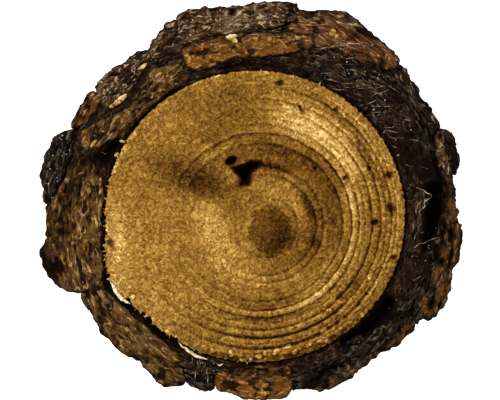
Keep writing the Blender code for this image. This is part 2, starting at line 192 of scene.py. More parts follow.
# The heart, and a stained crack beside the pocket, in millimetres: the middle, the half length,
# the half width and the tilt
HEART = (4.6, -4.2, 7.3, 7.8, 0)
STAINED_CRACK = (5.5, 16.8, 6.0, 1.2, -12)
# Round holes and pits in millimetres: the middle, the half length, the half width, the depth and
# how red its rim is. They all tilt alike.
HOLE_TILT = 25
BEETLE_HOLES = (
    (-8.3, 18.8, 1.6, 1.0, 5.0, 0.6), (39.7, -1.7, 1.0, 0.8, 1.4, 0.3),
    (46.0, -13.3, 0.9, 0.6, 1.0, 0.3), (44.3, 14.0, 1.0, 0.8, 0.7, 0.9),
    (45.0, 3.0, 0.9, 1.2, 0.5, 1.0), (37.7, 16.3, 0.6, 0.6, 0.7, 0.4),
    (29.7, 13.0, 0.8, 0.6, 1.0, 0.2), (19.7, 16.3, 0.5, 0.4, 1.0, 0.2),
    (8.0, 44.7, 1.1, 0.8, 0.7, 0.1), (26.7, 36.0, 0.9, 0.6, 0.6, 0.4),
    (15.0, 35.7, 0.5, 1.6, 0.5, 0.0), (-48.4, -8.7, 0.9, 1.1, 1.0, 0.3),
    (-4.0, 11.4, 1.6, 0.7, 0.8, 1.0),
)


def wood_radius(angle):
    """The wood's outline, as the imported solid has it."""
    oval = WOOD_OVAL * np.cos(2 * angle) + WOOD_LEAN * np.cos(angle - WOOD_LEAN_ANGLE)
    off_bulge = np.remainder(angle - WOOD_BULGE_ANGLE + math.pi, math.tau) - math.pi
    bulge = WOOD_BULGE * np.exp(-((off_bulge / WOOD_BULGE_SPREAD) ** 2))
    return WOOD_RADIUS + oval + bulge


def lumps(places, length, octaves=2, seed=0.0):
    """Soft noise from about -1 to 1 at each place, in lumps of this length."""
    shifted = places / length + (seed, 2 * seed, -seed)
    return np.array([noise.fractal(spot, 0.8, 2.1, octaves) for spot in shifted.tolist()])


def cracks(places, length, seed, thinness=4):
    """Noise that is 1 along thin winding lines and falls to 0 between them."""
    return np.clip(1 - thinness * abs(lumps(places, length, octaves=1, seed=seed)), 0, 1)


def ease(amount):
    """A smooth step from 0 to 1."""
    amount = np.clip(amount, 0, 1)
    return amount * amount * (3 - 2 * amount)


def growth_at(x, y):
    """The share of the way from the pith to the bark, and the direction, at each spot."""
    share = np.hypot(x, y) / WOOD_RADIUS
    for _ in range(8):
        along = x - PITH[0] * (1 - share)
        across = y - PITH[1] * (1 - share)
        angle = np.arctan2(across, along)
        share = np.hypot(along, across) / wood_radius(angle)
    return share, angle


def disc_grid(cells):
    """A square grid bent into a disc whose cells stay alike in size: shares and angles."""
    line = np.linspace(-1, 1, cells + 1)
    across, up = np.meshgrid(line, line)
    wide = abs(across) >= abs(up)
    steep = np.where(wide, across, up)
    flat = np.where(wide, up, across)
    lean = np.divide(flat, steep, out=np.zeros_like(flat), where=steep != 0) * math.pi / 4
    angle = np.where(wide, lean, math.pi / 2 - lean) + math.pi * (steep < 0)
    return abs(steep).ravel(), angle.ravel()


def outline_distance(x, y, outline):
    """How far each spot lies inside a closed outline: above 0 inside it, below 0 outside."""
    nearest = np.full(len(x), np.inf)
    crossings = np.zeros(len(x), dtype=int)
    for (ax, ay), (bx, by) in zip(outline, outline[1:] + outline[:1]):
        length = (bx - ax) ** 2 + (by - ay) ** 2
        along = np.clip(((x - ax) * (bx - ax) + (y - ay) * (by - ay)) / length, 0, 1)
        nearest = np.minimum(nearest, np.hypot(x - ax - along * (bx - ax), y - ay - along * (by - ay)))
        if ay != by:
            at_x = ax + (y - ay) / (by - ay) * (bx - ax)
            crossings += ((ay > y) != (by > y)) & (at_x > x)
    return np.where(crossings % 2 == 1, nearest, -nearest)


def tilted_offset(x, y, middle_x, middle_y, half_length, half_width, tilt):
    """How far each spot is from the middle of a tilted ellipse in millimetres, 1 on its edge."""
    turn = math.radians(tilt)
    right, up = x / MM - middle_x, y / MM - middle_y
    along = right * math.cos(turn) + up * math.sin(turn)
    across = up * math.cos(turn) - right * math.sin(turn)
    return np.hypot(along / half_length, across / half_width)


def torn_rim(angle):
    """How far the rim of the sawn face is broken back, most where the bast tore away with it."""
    rim = np.column_stack((np.cos(angle), np.sin(angle), np.zeros_like(angle))) * WOOD_RADIUS
    off = np.remainder(angle - TORN_RIM_ANGLE + math.pi, math.tau) - math.pi
    torn = TORN_RIM * np.exp(-((off / TORN_RIM_SPREAD) ** 2))
    ragged = RAGGED_RIM * np.clip(0.3 + lumps(rim, RAGGED_LENGTH, seed=41.0), 0, 1)
    return ragged + torn * np.clip(0.15 + lumps(rim, TORN_LENGTH, octaves=3, seed=43.0), 0, 1)


def facing(angle, side, gain, least):
    """1 where a direction from the pith faces one side of the log, and 0 well away from it."""
    return ease(gain * np.cos(angle - side) - least)


def year_rings(places, share, angle):
    """How the rings change the tone and the depth at each spot, and how well they show there."""
    clear = 0.5 + 0.5 * np.cos(angle - CLEAR_SIDE)
    wander = 0.006 * lumps(places, 9 * MM, seed=4.0) + 0.004 * lumps(places, 2.2 * MM, seed=7.0)
    ring = share + wander + 0.003 * clear * lumps(places, 1.6 * MM, octaves=1, seed=9.0)
    near_heart = ease((share - 0.3) / 0.06) * ease((0.66 - share) / 0.06)
    high = 0.6 * facing(angle, HIGH_SIDE, 1.5, 0.4) * near_heart
    shows = np.maximum(ease(1.25 * clear - 0.1), high)
    tone = -0.07 * shows
    depth = np.zeros_like(share)
    for where, half_width, dark_right, dark_left in YEAR_LINES:
        past = ring - where
        line = np.exp(-((past / half_width) ** 2))
        pale = ease((past - 0.4 * half_width) / 0.006) * np.exp(-np.clip(past, 0, 1) / PALE_WOOD)
        dark = dark_left + (dark_right - dark_left) * shows
        tone -= dark * line * (0.8 + 0.5 * lumps(places, 3.5 * MM, seed=where * 20))
        tone += dark * pale
        depth += RING_DEPTH * (0.35 + 0.65 * shows) * line
    return tone, depth, shows


def open_cells(places, share, angle, shows):
    """How the cells and the crinkles that the blade left change the tone and the depth. The tone follows the
    depth, darker in the sunk crinkles and lighter on the raised cells: partly the wood's own colour, partly
    painted shade and highlight.
    """
    rows = shows * ease((share - 0.6) / 0.1)
    cells = lumps(places, CELL_LENGTH, octaves=1, seed=37.0)
    crinkle = cracks(places, CRINKLE_LENGTH, seed=11.0)
    # Painted shade and highlight in part: the sunk crinkles are darker and the raised cells lighter.
    tone = (0.04 + 0.17 * rows) * cells - 0.10 * crinkle
    tone += 0.05 * lumps(places, 1.1 * MM, octaves=1, seed=15.0)
    depth = CRINKLE_DEPTH * crinkle - CELL_DEPTH * rows * cells
    depth += ROUGHNESS * lumps(places, 1.0 * MM, octaves=1, seed=13.0)
    pale_rim = ease((share - 0.915) / 0.03) * facing(angle, PALE_RIM_SIDE, 1.5, 0.6)
    tone += 0.45 * pale_rim * np.clip(lumps(places, 1.5 * MM, octaves=1, seed=19.0) + 0.1, 0, 1)
    for cell in CREAM_CELLS:
        off = tilted_offset(places[:, 0], places[:, 1], *cell)
        tone += 0.30 * ease(1.5 - off) - 0.28 * np.exp(-(((off - 1.5) / 0.22) ** 2))
        depth -= CELL_DEPTH * ease(1.4 - off)
    clumps = ease(0.5 + 1.8 * lumps(places, 6 * MM, octaves=1, seed=27.0))
    fluff = ease((share - 0.972) / 0.02) * clumps
    tone += 0.5 * fluff * np.clip(lumps(places, 0.9 * MM, seed=29.0) + 0.25, 0, 1)
    return tone, depth


def false_rings(share, angle):
    """1 along the thin dark lines that lie between the lowest rings."""
    places = np.column_stack((FALSE_RING_DRIFT * angle, 9 * share, np.zeros_like(share)))
    low_side = facing(angle, FALSE_RING_SIDE, 1.6, 0.65) * ease((share - 0.5) / 0.1)
    return cracks(places, 1.0, seed=21.0, thinness=6) * low_side


def sawn_face_look(x, y, share, angle):
    """The depth in metres, the tone and the redness of the sawn face at each spot."""
    places = np.column_stack((x, y, np.zeros_like(x)))
    ring_tone, ring_depth, shows = year_rings(places, share, angle)
    cell_tone, cell_depth = open_cells(places, share, angle, shows)
    false_ring = false_rings(share, angle)
    tone = WOOD_TONE + 0.05 * lumps(places, 12 * MM, seed=1.0) + 0.05 * lumps(places, 4 * MM, seed=2.0)
    tone += ring_tone + cell_tone - 0.36 * false_ring
    depth = 0.05 * MM * (1 + lumps(places, 5 * MM, seed=3.0))
    depth += ring_depth + cell_depth + FALSE_RING_DEPTH * false_ring
    for *ellipse, lift in BROAD_TONES:
        off = tilted_offset(x, y, *ellipse) + 0.12 * lumps(places, 5 * MM, seed=ellipse[0])
        tone += lift * np.exp(-(np.clip(off, 0, 9) ** 2.4))

    heart = tilted_offset(x, y, *HEART) + 0.14 * lumps(places, 3 * MM, seed=23.0)
    core = ease((1.08 - heart) / 0.2)
    tone += core * (0.35 * (0.44 - tone) - 0.22)
    red = 0.15 * core
    for *ellipse, deep, redness in BEETLE_HOLES:
        off = tilted_offset(x, y, *ellipse, HOLE_TILT)
        off += 0.2 * lumps(places, 1.2 * MM, octaves=1, seed=ellipse[0])
        depth += deep * MM * ease(1.5 - off)
        tone -= (0.36 + 0.08 * deep) * ease(1.7 - off)
        red += redness * ease(2.2 - 0.8 * off)

    pocket = outline_distance(x, y, [(px * MM, py * MM) for px, py in POCKET_OUTLINE])
    pocket += 0.25 * MM * lumps(places, 1.5 * MM, seed=17.0)
    depth += POCKET_DEPTH * ease(pocket / (1.9 * MM) + 0.05)
    tone -= 1.2 * ease(pocket / (0.5 * MM) + 0.9) + 0.25 * ease(pocket / (1.6 * MM) + 1)
    stain = np.exp(-(tilted_offset(x, y, *STAINED_CRACK) ** 2))
    tone -= 0.26 * stain
    red += 0.8 * ease(pocket / (1.5 * MM) + 1) + 0.6 * stain
    return depth, tone, np.clip(red, 0, 1)


def float_attribute(mesh, name, values):
    """Stores one number a vertex, for the finish to read."""
    layer = mesh.attributes.new(name, "FLOAT", "POINT")
    layer.data.foreach_set("value", np.asarray(values, dtype=np.float32))


def vector_attribute(mesh, name, values):
    """Stores one vector a vertex, for the finish to read."""
    layer = mesh.attributes.new(name, "FLOAT_VECTOR", "POINT")
    layer.data.foreach_set("vector", np.asarray(values, dtype=np.float32).ravel())


def finished_object(name, mesh, material):
    """An object of this mesh and finish, shaded smooth."""
    mesh.shade_smooth()
    mesh.materials.append(material)
    made = bpy.data.objects.new(name, mesh)
    bpy.context.scene.collection.objects.link(made)
    return made


def hex_points(outline, spacing, clear):
    """Staggered rows of points inside a closed outline, as far as clear from its edge."""
    xs = [spot[0] for spot in outline]
    ys = [spot[1] for spot in outline]
    rows = np.arange(min(ys), max(ys), spacing * 0.87)
    columns = np.arange(min(xs), max(xs), spacing)
    x, y = np.meshgrid(columns, rows)
    x[1::2] += spacing / 2
    x, y = x.ravel(), y.ravel()
    inside = outline_distance(x, y, outline) > clear
    return np.column_stack((x[inside], y[inside]))


def wood_disc():
    """The closed disc: a fine sawn face, the side under the bark and a plainer underside."""
    share, angle = disc_grid(DISC_CELLS)
    reach = share * (wood_radius(angle) - torn_rim(angle) * ease((share - 0.88) / 0.12))
    x = PITH[0] * (1 - share) + reach * np.cos(angle)
    y = PITH[1] * (1 - share) + reach * np.sin(angle)
    depth, tone, red = sawn_face_look(x, y, share, angle)
    depth += RIM_WEAR * ease((share - 0.985) / 0.015) ** 2
    top = np.column_stack((x, y, SAWN_FACE - np.clip(depth, 0, DEEPEST)))

    side = DISC_CELLS + 1
    index = np.arange(side * side).reshape(side, side)
    quads = np.stack((index[:-1, :-1], index[:-1, 1:], index[1:, 1:], index[1:, :-1]), axis=-1)
    faces = quads.reshape(-1, 4).tolist()
    rim = np.concatenate((index[0, :-1], index[:-1, -1], index[-1, :0:-1], index[:0:-1, 0]))

    points, tones, reds = [top], [tone], [red]
    above = rim
    count = len(top)
    for level in reversed(SIDE_LEVELS):
        ring = top[rim].copy()
        ring[:, 2] = level * MM
        worn = LOW_EDGE_WEAR if level == 0.0 else 0.0
        worn += SIDE_ROUGHNESS * abs(lumps(ring * (1, 1, 0.25), 1.6 * MM, seed=31.0))
        ring[:, :2] *= 1 - (worn / np.hypot(ring[:, 0], ring[:, 1]))[:, None]
        below = np.arange(count, count + len(rim))
        faces += np.stack((above, np.roll(above, -1), np.roll(below, -1), below), axis=-1).tolist()
        points.append(ring)
        tones.append(SIDE_TONE + 0.2 * lumps(ring * (1, 1, 0.1), 1.2 * MM, seed=33.0))
        reds.append(np.full(len(ring), SIDE_REDNESS))
        count += len(ring)
        above = below

    outline = [tuple(spot) for spot in points[-1][:, :2].tolist()]
    inner = hex_points(outline, UNDERSIDE_SPACING, 0.8 * UNDERSIDE_SPACING)
    rim_edges = [(i, (i + 1) % len(outline)) for i in range(len(outline))]
    flat, _, triangles, _, _, _ = geometry.delaunay_2d_cdt(
        [Vector(spot) for spot in outline] + [Vector(spot) for spot in inner.tolist()],
        rim_edges, [], 1, 1e-9,
    )
    first_inner = count - len(outline)
    faces += [[first_inner + k for k in reversed(triangle)] for triangle in triangles]
    floor_share, floor_angle = growth_at(inner[:, 0], inner[:, 1])
    depth, tone, red = sawn_face_look(-inner[:, 0], inner[:, 1], floor_share, math.pi - floor_angle)
    points.append(np.column_stack((inner, np.clip(0.5 * depth, 0, UNDERSIDE_DEPTH))))
    tones.append(tone)
    reds.append(0 * red)

    mesh = bpy.data.meshes.new("wood_disc")
    mesh.from_pydata(np.concatenate(points).tolist(), [], faces)
    float_attribute(mesh, "tone", np.concatenate(tones))
    float_attribute(mesh, "redness", np.concatenate(reds))
    return mesh


class Finish:
    """A matt finish whose nodes are laid down one after another."""

    def __init__(self, name, roughness):
        self.material = bpy.data.materials.new(name)
        self.material.use_nodes = True
        self.tree = self.material.node_tree
        self.shader = self.tree.nodes["Principled BSDF"]
        self.shader.inputs["Roughness"].default_value = roughness
        self.shader.inputs["Specular IOR Level"].default_value = SHEEN

    def put(self, socket, value):
        """Sets a socket to a plain value, or links it to another socket."""
        if isinstance(value, bpy.types.NodeSocket):
            self.tree.links.new(value, socket)
        else:
            socket.default_value = value

    def attribute(self, name, output="Fac"):
        """What the mesh stores under this name."""
        node = self.tree.nodes.new("ShaderNodeAttribute")
        node.attribute_name = name
        return node.outputs[output]

    def place(self):
        """Where a spot is on the piece, in metres."""
        return self.tree.nodes.new("ShaderNodeTexCoord").outputs["Object"]

    def stretched(self, place, factors):
        """A place with each of its three parts multiplied."""
        node = self.tree.nodes.new("ShaderNodeVectorMath")
        node.operation = "MULTIPLY"
        self.put(node.inputs[0], place)
        node.inputs[1].default_value = factors
        return node.outputs[0]

    def noise(self, place, scale, detail=2.0, distortion=0.0):
        """Soft noise from 0 to 1."""
        node = self.tree.nodes.new("ShaderNodeTexNoise")
        self.put(node.inputs["Vector"], place)
        node.inputs["Scale"].default_value = scale
        node.inputs["Detail"].default_value = detail
        node.inputs["Distortion"].default_value = distortion
        return node.outputs["Fac"]

    def maths(self, operation, *values):
        """One step of arithmetic on these values."""
        node = self.tree.nodes.new("ShaderNodeMath")
        node.operation = operation
        for socket, value in zip(node.inputs, values):
            self.put(socket, value)
        return node.outputs[0]

    def between(self, value, limits, results=(0.0, 1.0)):
        """A smooth step from one result to the other, as the value passes the two limits."""
        node = self.tree.nodes.new("ShaderNodeMapRange")
        node.interpolation_type = "SMOOTHSTEP"
        self.put(node.inputs["Value"], value)
        for name, number in zip(("From Min", "From Max", "To Min", "To Max"), (*limits, *results)):
            node.inputs[name].default_value = number
        return node.outputs["Result"]

    def off_middle(self, noise_value):
        """How far a noise is from its middle value, which it crosses along winding lines."""
        return self.maths("ABSOLUTE", self.maths("SUBTRACT", noise_value, 0.5))

    def ramp(self, value, stops):
        """The colour that the value has along a row of colours."""
        node = self.tree.nodes.new("ShaderNodeValToRGB")
        elements = node.color_ramp.elements
        while len(elements) < len(stops):
            elements.new(0.5)
        for element, (where, colour) in zip(elements, stops):
            element.position = where
            element.color = (*colour, 1)
        self.put(node.inputs["Fac"], value)
        return node.outputs["Color"]

    def mix(self, share, first, second, blend="MIX"):
        """The first colour with a share of the second laid over it."""
        node = self.tree.nodes.new("ShaderNodeMix")
        node.data_type = "RGBA"
        node.blend_type = blend
        self.put(node.inputs[0], share)
        for socket, value in ((node.inputs[6], first), (node.inputs[7], second)):
            self.put(socket, value if isinstance(value, bpy.types.NodeSocket) else (*value, 1))
        return node.outputs[2]

    def bump(self, height, distance):
        """Lets the light fall as if the face rose by this distance where the height is 1."""
        node = self.tree.nodes.new("ShaderNodeBump")
        node.inputs["Distance"].default_value = distance
        self.put(node.inputs["Height"], height)
        self.put(self.shader.inputs["Normal"], node.outputs["Normal"])

    def colour(self, value):
        """The finished material, with this colour."""
        self.put(self.shader.inputs["Base Color"], value)
        return self.material


def sawn_wood_finish():
    """Golden end grain: the tone runs through the wood's colours, crinkled by the saw, lighter on its raised
    ridges and grit and darker in its furrows as painted highlight and shade.
    """
    finish = Finish("sawn_wood", 0.78)
    place = finish.place()
    ridges = finish.off_middle(finish.noise(place, RIDGE_SCALE, detail=1.0, distortion=1.0))
    furrows = finish.off_middle(finish.noise(place, FURROW_SCALE, detail=1.0, distortion=1.0))
    ridge = finish.between(ridges, (0.0, 0.08), (1.0, 0.0))
    furrow = finish.between(furrows, (0.0, 0.06), (1.0, 0.0))
    crinkle = finish.maths("SUBTRACT", ridge, furrow)
    grit = finish.noise(place, GRIT_SCALE, detail=1.5, distortion=0.6)
    broad = finish.attribute("tone")
    contrast = finish.between(broad, (0.35, 0.70), (0.11, 0.22))
    # Painted highlight and shade: the tone rises on the raised ridges and grit and falls in the sunk furrows,
    # matching the bump below.
    tone = finish.maths("ADD", broad, finish.maths("MULTIPLY", crinkle, contrast))
    tone = finish.maths("ADD", tone, finish.between(grit, (0.30, 0.70), (-0.06, 0.09)))
    wood = finish.ramp(tone, WOOD_COLOURS)
    red = finish.mix(0.75, wood, REDDENING, "MULTIPLY")
    height = finish.maths("ADD", crinkle, finish.maths("MULTIPLY", grit, 0.6))
    finish.bump(height, CRINKLE_RELIEF)
    return finish.colour(finish.mix(finish.attribute("redness"), wood, red))


wood = finished_object("wood_disc", wood_disc(), sawn_wood_finish())
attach(wood, "root")
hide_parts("wood")

# The plates of bark
# Thick scales of cork and dead inner bark, pressed together and split by cracks as the trunk grew.
# The saw tore their layers, so the face of each is rough, pitted and a little below the wood.
VOXEL = 0.4 * MM
OUTLINE_STEP = 0.8 * MM
# How far a plate is pressed past its outline against the next one, and out over the furrows, how
# uneven its outline is, how clear it stays of the wood, and between which heights it lies
PLATE_JOIN = 0.55 * MM
PLATE_SWELL = 0.60 * MM
OUTLINE_WANDER = 0.45 * MM
WOOD_CLEARANCE = 0.5 * MM
PLATE_FLOOR = 0.3 * MM
PLATE_TOP = SAWN_FACE - 0.2 * MM
# How long the lumps of a plate are: its furrows, its scales, what flaked off its skin, its layers,
# the chaff on them and the pits between them
FURROW_LENGTH = 4.5 * MM
SCALE_LENGTH = 1.8 * MM
FLAKED_LENGTH = 3.4 * MM
LAYER_LENGTH = 2.4 * MM
CHAFF_LENGTH = 1.3 * MM
PIT_LENGTH = 2.0 * MM
# How far its edges and its floor are worn, and how thick and how deep its weathered skin is. The
# worn edge band also carries painted shade along the cracks, and the skin's depth sets a dark band
# on the sawn face's outer rim that is painted shade for the side below it.
EDGE_WEAR = 0.9 * MM
EDGE_WEAR_AND_SHADE_WIDTH = 0.55 * MM
FLOOR_WEAR = 0.6 * MM
SKIN_FLAKE = 0.55 * MM
SKIN_AND_RIM_SHADE_DEPTH = 0.9 * MM
# The angle of a furrow, from which the distance round the log is measured, at this radius
ROUND_START = math.radians(187.3)
ROUND_RADIUS = 58 * MM

# The weathered skin from its cracks to its crests, also used as painted rim shade, the black of
# painted shade and of darkened patches, and how high torn fibres stand
SKIN_AND_RIM_SHADE_COLOURS = (
    (0.34, (0.003, 0.002, 0.001)), (0.47, (0.016, 0.009, 0.006)), (0.56, (0.050, 0.028, 0.017)),
    (0.68, (0.110, 0.072, 0.048)),
)
SHADE_AND_PATCH_BLACK = (0.004, 0.0018, 0.0008)
BARK_RELIEF = 0.22 * MM
# The kinds of bark: its colour in its sunk layers, darkened there as painted shade, its body colour,
# the colour of the pale torn fibres that show on it, how much of it they cover and how far they are
# drawn out along its layers
BARK_KINDS = {
    "crust": ((0.009, 0.003, 0.001), (0.037, 0.015, 0.006), (0.46, 0.32, 0.165), 0.85, 1.7),
    "russet": ((0.013, 0.004, 0.001), (0.068, 0.024, 0.006), (0.42, 0.23, 0.090), 0.9, 3.2),
    "amber": ((0.050, 0.018, 0.003), (0.104, 0.038, 0.006), (0.48, 0.24, 0.062), 0.8, 1.9),
    "olive": ((0.020, 0.008, 0.002), (0.069, 0.031, 0.007), (0.38, 0.235, 0.080), 1.0, 3.4),
    "umber": ((0.010, 0.004, 0.001), (0.046, 0.019, 0.005), (0.27, 0.145, 0.052), 0.7, 2.4),
    "sooty": ((0.003, 0.001, 0.001), (0.012, 0.006, 0.002), (0.18, 0.095, 0.042), 0.5, 2.8),
    "coal": ((0.002, 0.001, 0.001), (0.006, 0.004, 0.002), (0.20, 0.150, 0.090), 0.4, 2.6),
    "grey": ((0.004, 0.002, 0.001), (0.018, 0.009, 0.004), (0.36, 0.26, 0.150), 0.75, 1.8),
}
# Each plate: its kinds on the wood's side and on the outer side, the share of its width where they
# meet, how far its face lies below the wood's at its inner and outer side, how rough it is, and
# its outline on the sawn face, in millimetres
BARK_PLATES = {
    "crown": ("crust", "crust", 0.5, 0.6, 2.4, 1.0, (
        (-26.5, 67.5), (-22.5, 69.2), (-10.0, 70.0), (-3.0, 71.0), (5.0, 72.0), (11.0, 72.0),
        (13.7, 70.0), (13.7, 66.0), (2.0, 62.0), (-5.5, 62.0), (-13.5, 60.6), (-25.8, 57.4),
    )),
    "crown_inner": ("amber", "russet", 0.72, 0.0, 0.4, 0.8, (
        (-24.8, 55.8), (-19.5, 58.0), (-5.5, 61.5), (2.0, 61.5), (18.5, 60.6), (19.8, 57.2),
        (10.0, 54.6), (2.0, 53.9), (-8.0, 53.2), (-14.0, 50.2), (-20.0, 48.8), (-23.5, 51.0),
    )),
    "rusty_shoulder": ("russet", "crust", 0.7, 0.4, 2.2, 1.0, (
        (12.4, 66.4), (13.4, 68.8), (18.0, 69.0), (26.5, 69.3), (30.5, 68.0), (34.5, 64.5), (41.6, 58.4),
        (48.0, 53.0), (47.0, 50.0), (42.4, 49.2), (37.0, 54.4), (32.0, 55.8), (25.5, 55.6),
        (20.2, 56.4), (19.0, 60.8), (12.5, 61.4), (10.6, 62.8),
    )),
    "dark_right": ("coal", "coal", 0.5, 1.0, 1.8, 1.2, (
        (15.5, 47.5), (18.5, 52.0), (24.5, 55.2), (30.5, 55.6), (39.5, 51.4), (45.5, 47.0),
        (51.5, 39.0), (56.0, 31.0), (59.5, 25.5), (60.5, 16.0), (61.0, 12.5), (56.0, 11.0),
        (50.5, 10.0), (49.0, 14.0), (44.5, 25.0), (34.0, 37.0), (20.5, 45.5),
    )),
    "right_rim": ("coal", "grey", 0.40, 1.4, 3.0, 1.4, (
        (44.5, 50.0), (48.3, 51.5), (53.0, 43.8), (56.5, 38.0), (60.5, 32.5), (61.5, 29.5),
        (59.5, 26.6), (52.0, 38.6), (45.8, 46.8),
    )),
    "right_knuckle": ("crust", "coal", 0.48, 1.2, 3.4, 1.2, (
        (61.5, 29.8), (65.5, 26.5), (67.2, 23.0), (67.2, 19.0), (66.5, 15.5), (64.5, 13.5),
        (61.5, 13.5), (60.6, 19.0), (59.8, 26.0),
    )),
    "right_low": ("coal", "umber", 0.62, 0.8, 2.4, 1.2, (
        (62.6, 14.6), (65.6, 14.4), (66.2, 5.5), (67.4, 0.0), (69.0, -6.5), (68.2, -10.5),
        (67.7, -15.5), (65.6, -16.8), (65.2, -23.5), (63.5, -28.0), (61.5, -31.5), (58.0, -33.7),
        (53.0, -35.0), (46.8, -32.4), (47.0, -26.5), (49.0, -20.5), (52.5, -15.0), (57.5, -11.0),
        (60.8, -5.0), (62.6, 2.5),
    )),
    "grey_wedge": ("sooty", "grey", 0.35, 1.2, 2.2, 1.0, (
        (50.8, 9.0), (54.5, 9.5), (58.3, 7.5), (56.2, 4.0), (55.0, -1.0), (53.5, -6.0),
        (52.0, -13.0), (49.5, -14.5), (50.0, -2.5),
    )),
    "dark_low": ("coal", "umber", 0.72, 1.4, 2.8, 1.2, (
        (53.6, -34.0), (52.4, -38.4), (47.0, -42.5), (41.0, -44.7), (38.0, -48.7), (33.5, -51.7),
        (29.5, -55.2), (26.5, -57.0), (21.0, -58.0), (11.6, -57.4), (11.4, -50.5), (22.0, -46.0),
        (29.0, -42.2), (35.5, -39.5), (42.5, -36.2), (48.5, -31.6),
    )),
    "amber_foot": ("umber", "amber", 0.38, 0.6, 1.6, 0.8, (
        (11.8, -57.5), (9.5, -60.7), (2.0, -60.8), (-4.5, -60.2), (-6.7, -59.0), (-13.0, -58.4),
        (-14.0, -54.5), (-12.5, -51.0), (-2.0, -49.5), (11.6, -50.0),
    )),
    "split_foot": ("coal", "coal", 0.5, 1.6, 2.6, 1.2, (
        (-23.0, -47.0), (-18.5, -48.0), (-14.0, -49.0), (-14.4, -53.5), (-14.0, -58.0),
        (-17.5, -58.0), (-22.6, -56.6), (-24.4, -53.5),
    )),
    "brown_low": ("olive", "umber", 0.85, 0.0, 1.6, 0.9, (
        (-23.4, -55.6), (-28.8, -57.0), (-32.5, -55.3), (-36.8, -51.2), (-38.5, -48.2),
        (-46.0, -44.5), (-50.8, -39.0), (-53.0, -34.3), (-57.5, -28.7), (-59.0, -26.0),
        (-50.4, -24.2), (-46.0, -28.9), (-41.0, -33.6), (-30.7, -42.0), (-25.6, -46.2),
        (-24.5, -51.5),
    )),
    "left_foot": ("olive", "umber", 0.62, 0.2, 2.0, 0.9, (
        (-60.0, -25.0), (-63.4, -24.6), (-68.0, -21.2), (-71.4, -16.0), (-71.6, -11.5),
        (-69.6, -7.0), (-64.5, -5.2), (-52.0, -6.2), (-50.8, -17.5), (-53.5, -23.8),
    )),
    "left_middle": ("olive", "umber", 0.42, 0.4, 1.8, 1.0, (
        (-70.0, -7.2), (-69.8, 0.0), (-69.2, 4.0), (-66.5, 8.5), (-64.0, 12.5), (-61.5, 17.5),
        (-59.5, 21.0), (-55.5, 19.5), (-52.5, 15.0), (-50.5, 8.0), (-50.8, 1.0), (-51.5, -7.0),
        (-64.0, -6.6),
    )),
    "left_dark": ("coal", "coal", 0.5, 1.8, 4.2, 1.2, (
        (-69.2, 4.5), (-70.8, 6.5), (-71.2, 11.0), (-72.6, 14.0), (-70.7, 19.5), (-68.2, 25.5),
        (-65.2, 28.4), (-60.4, 29.8), (-60.6, 23.3), (-62.4, 18.0), (-64.6, 13.0), (-67.0, 8.2),
    )),
    "left_chip": ("russet", "umber", 0.7, 1.0, 2.2, 0.8, (
        (-61.8, 29.4), (-60.4, 33.2), (-59.2, 36.2), (-56.5, 40.3), (-54.2, 41.8), (-52.0, 39.5),
        (-53.4, 35.5), (-55.6, 32.4),
    )),
    "flake": ("crust", "crust", 0.5, 0.2, 2.2, 1.0, (
        (-53.5, 42.3), (-52.4, 45.8), (-48.6, 49.0), (-43.2, 52.2), (-38.7, 55.2), (-36.2, 55.8),
        (-35.0, 52.5), (-37.6, 49.5), (-40.4, 44.5), (-42.6, 40.2), (-46.5, 37.2), (-51.5, 36.6),
    )),
    "left_shoulder": ("grey", "crust", 0.5, 1.4, 3.0, 1.1, (
        (-36.0, 56.2), (-32.7, 60.7), (-29.8, 64.7), (-26.4, 65.8), (-26.2, 58.0), (-25.4, 53.0),
        (-32.5, 52.2), (-35.8, 53.0),
    )),
    "left_inner": ("umber", "olive", 0.25, 1.0, 0.6, 1.0, (
        (-58.5, 28.5), (-54.5, 30.5), (-50.0, 33.6), (-45.0, 34.8), (-40.8, 37.8), (-38.4, 43.0),
        (-35.0, 49.0), (-25.5, 51.5), (-22.5, 47.5), (-24.0, 43.0), (-36.0, 34.0), (-41.5, 29.5),
        (-47.5, 26.5), (-54.0, 22.6), (-59.5, 23.5),
    )),
}


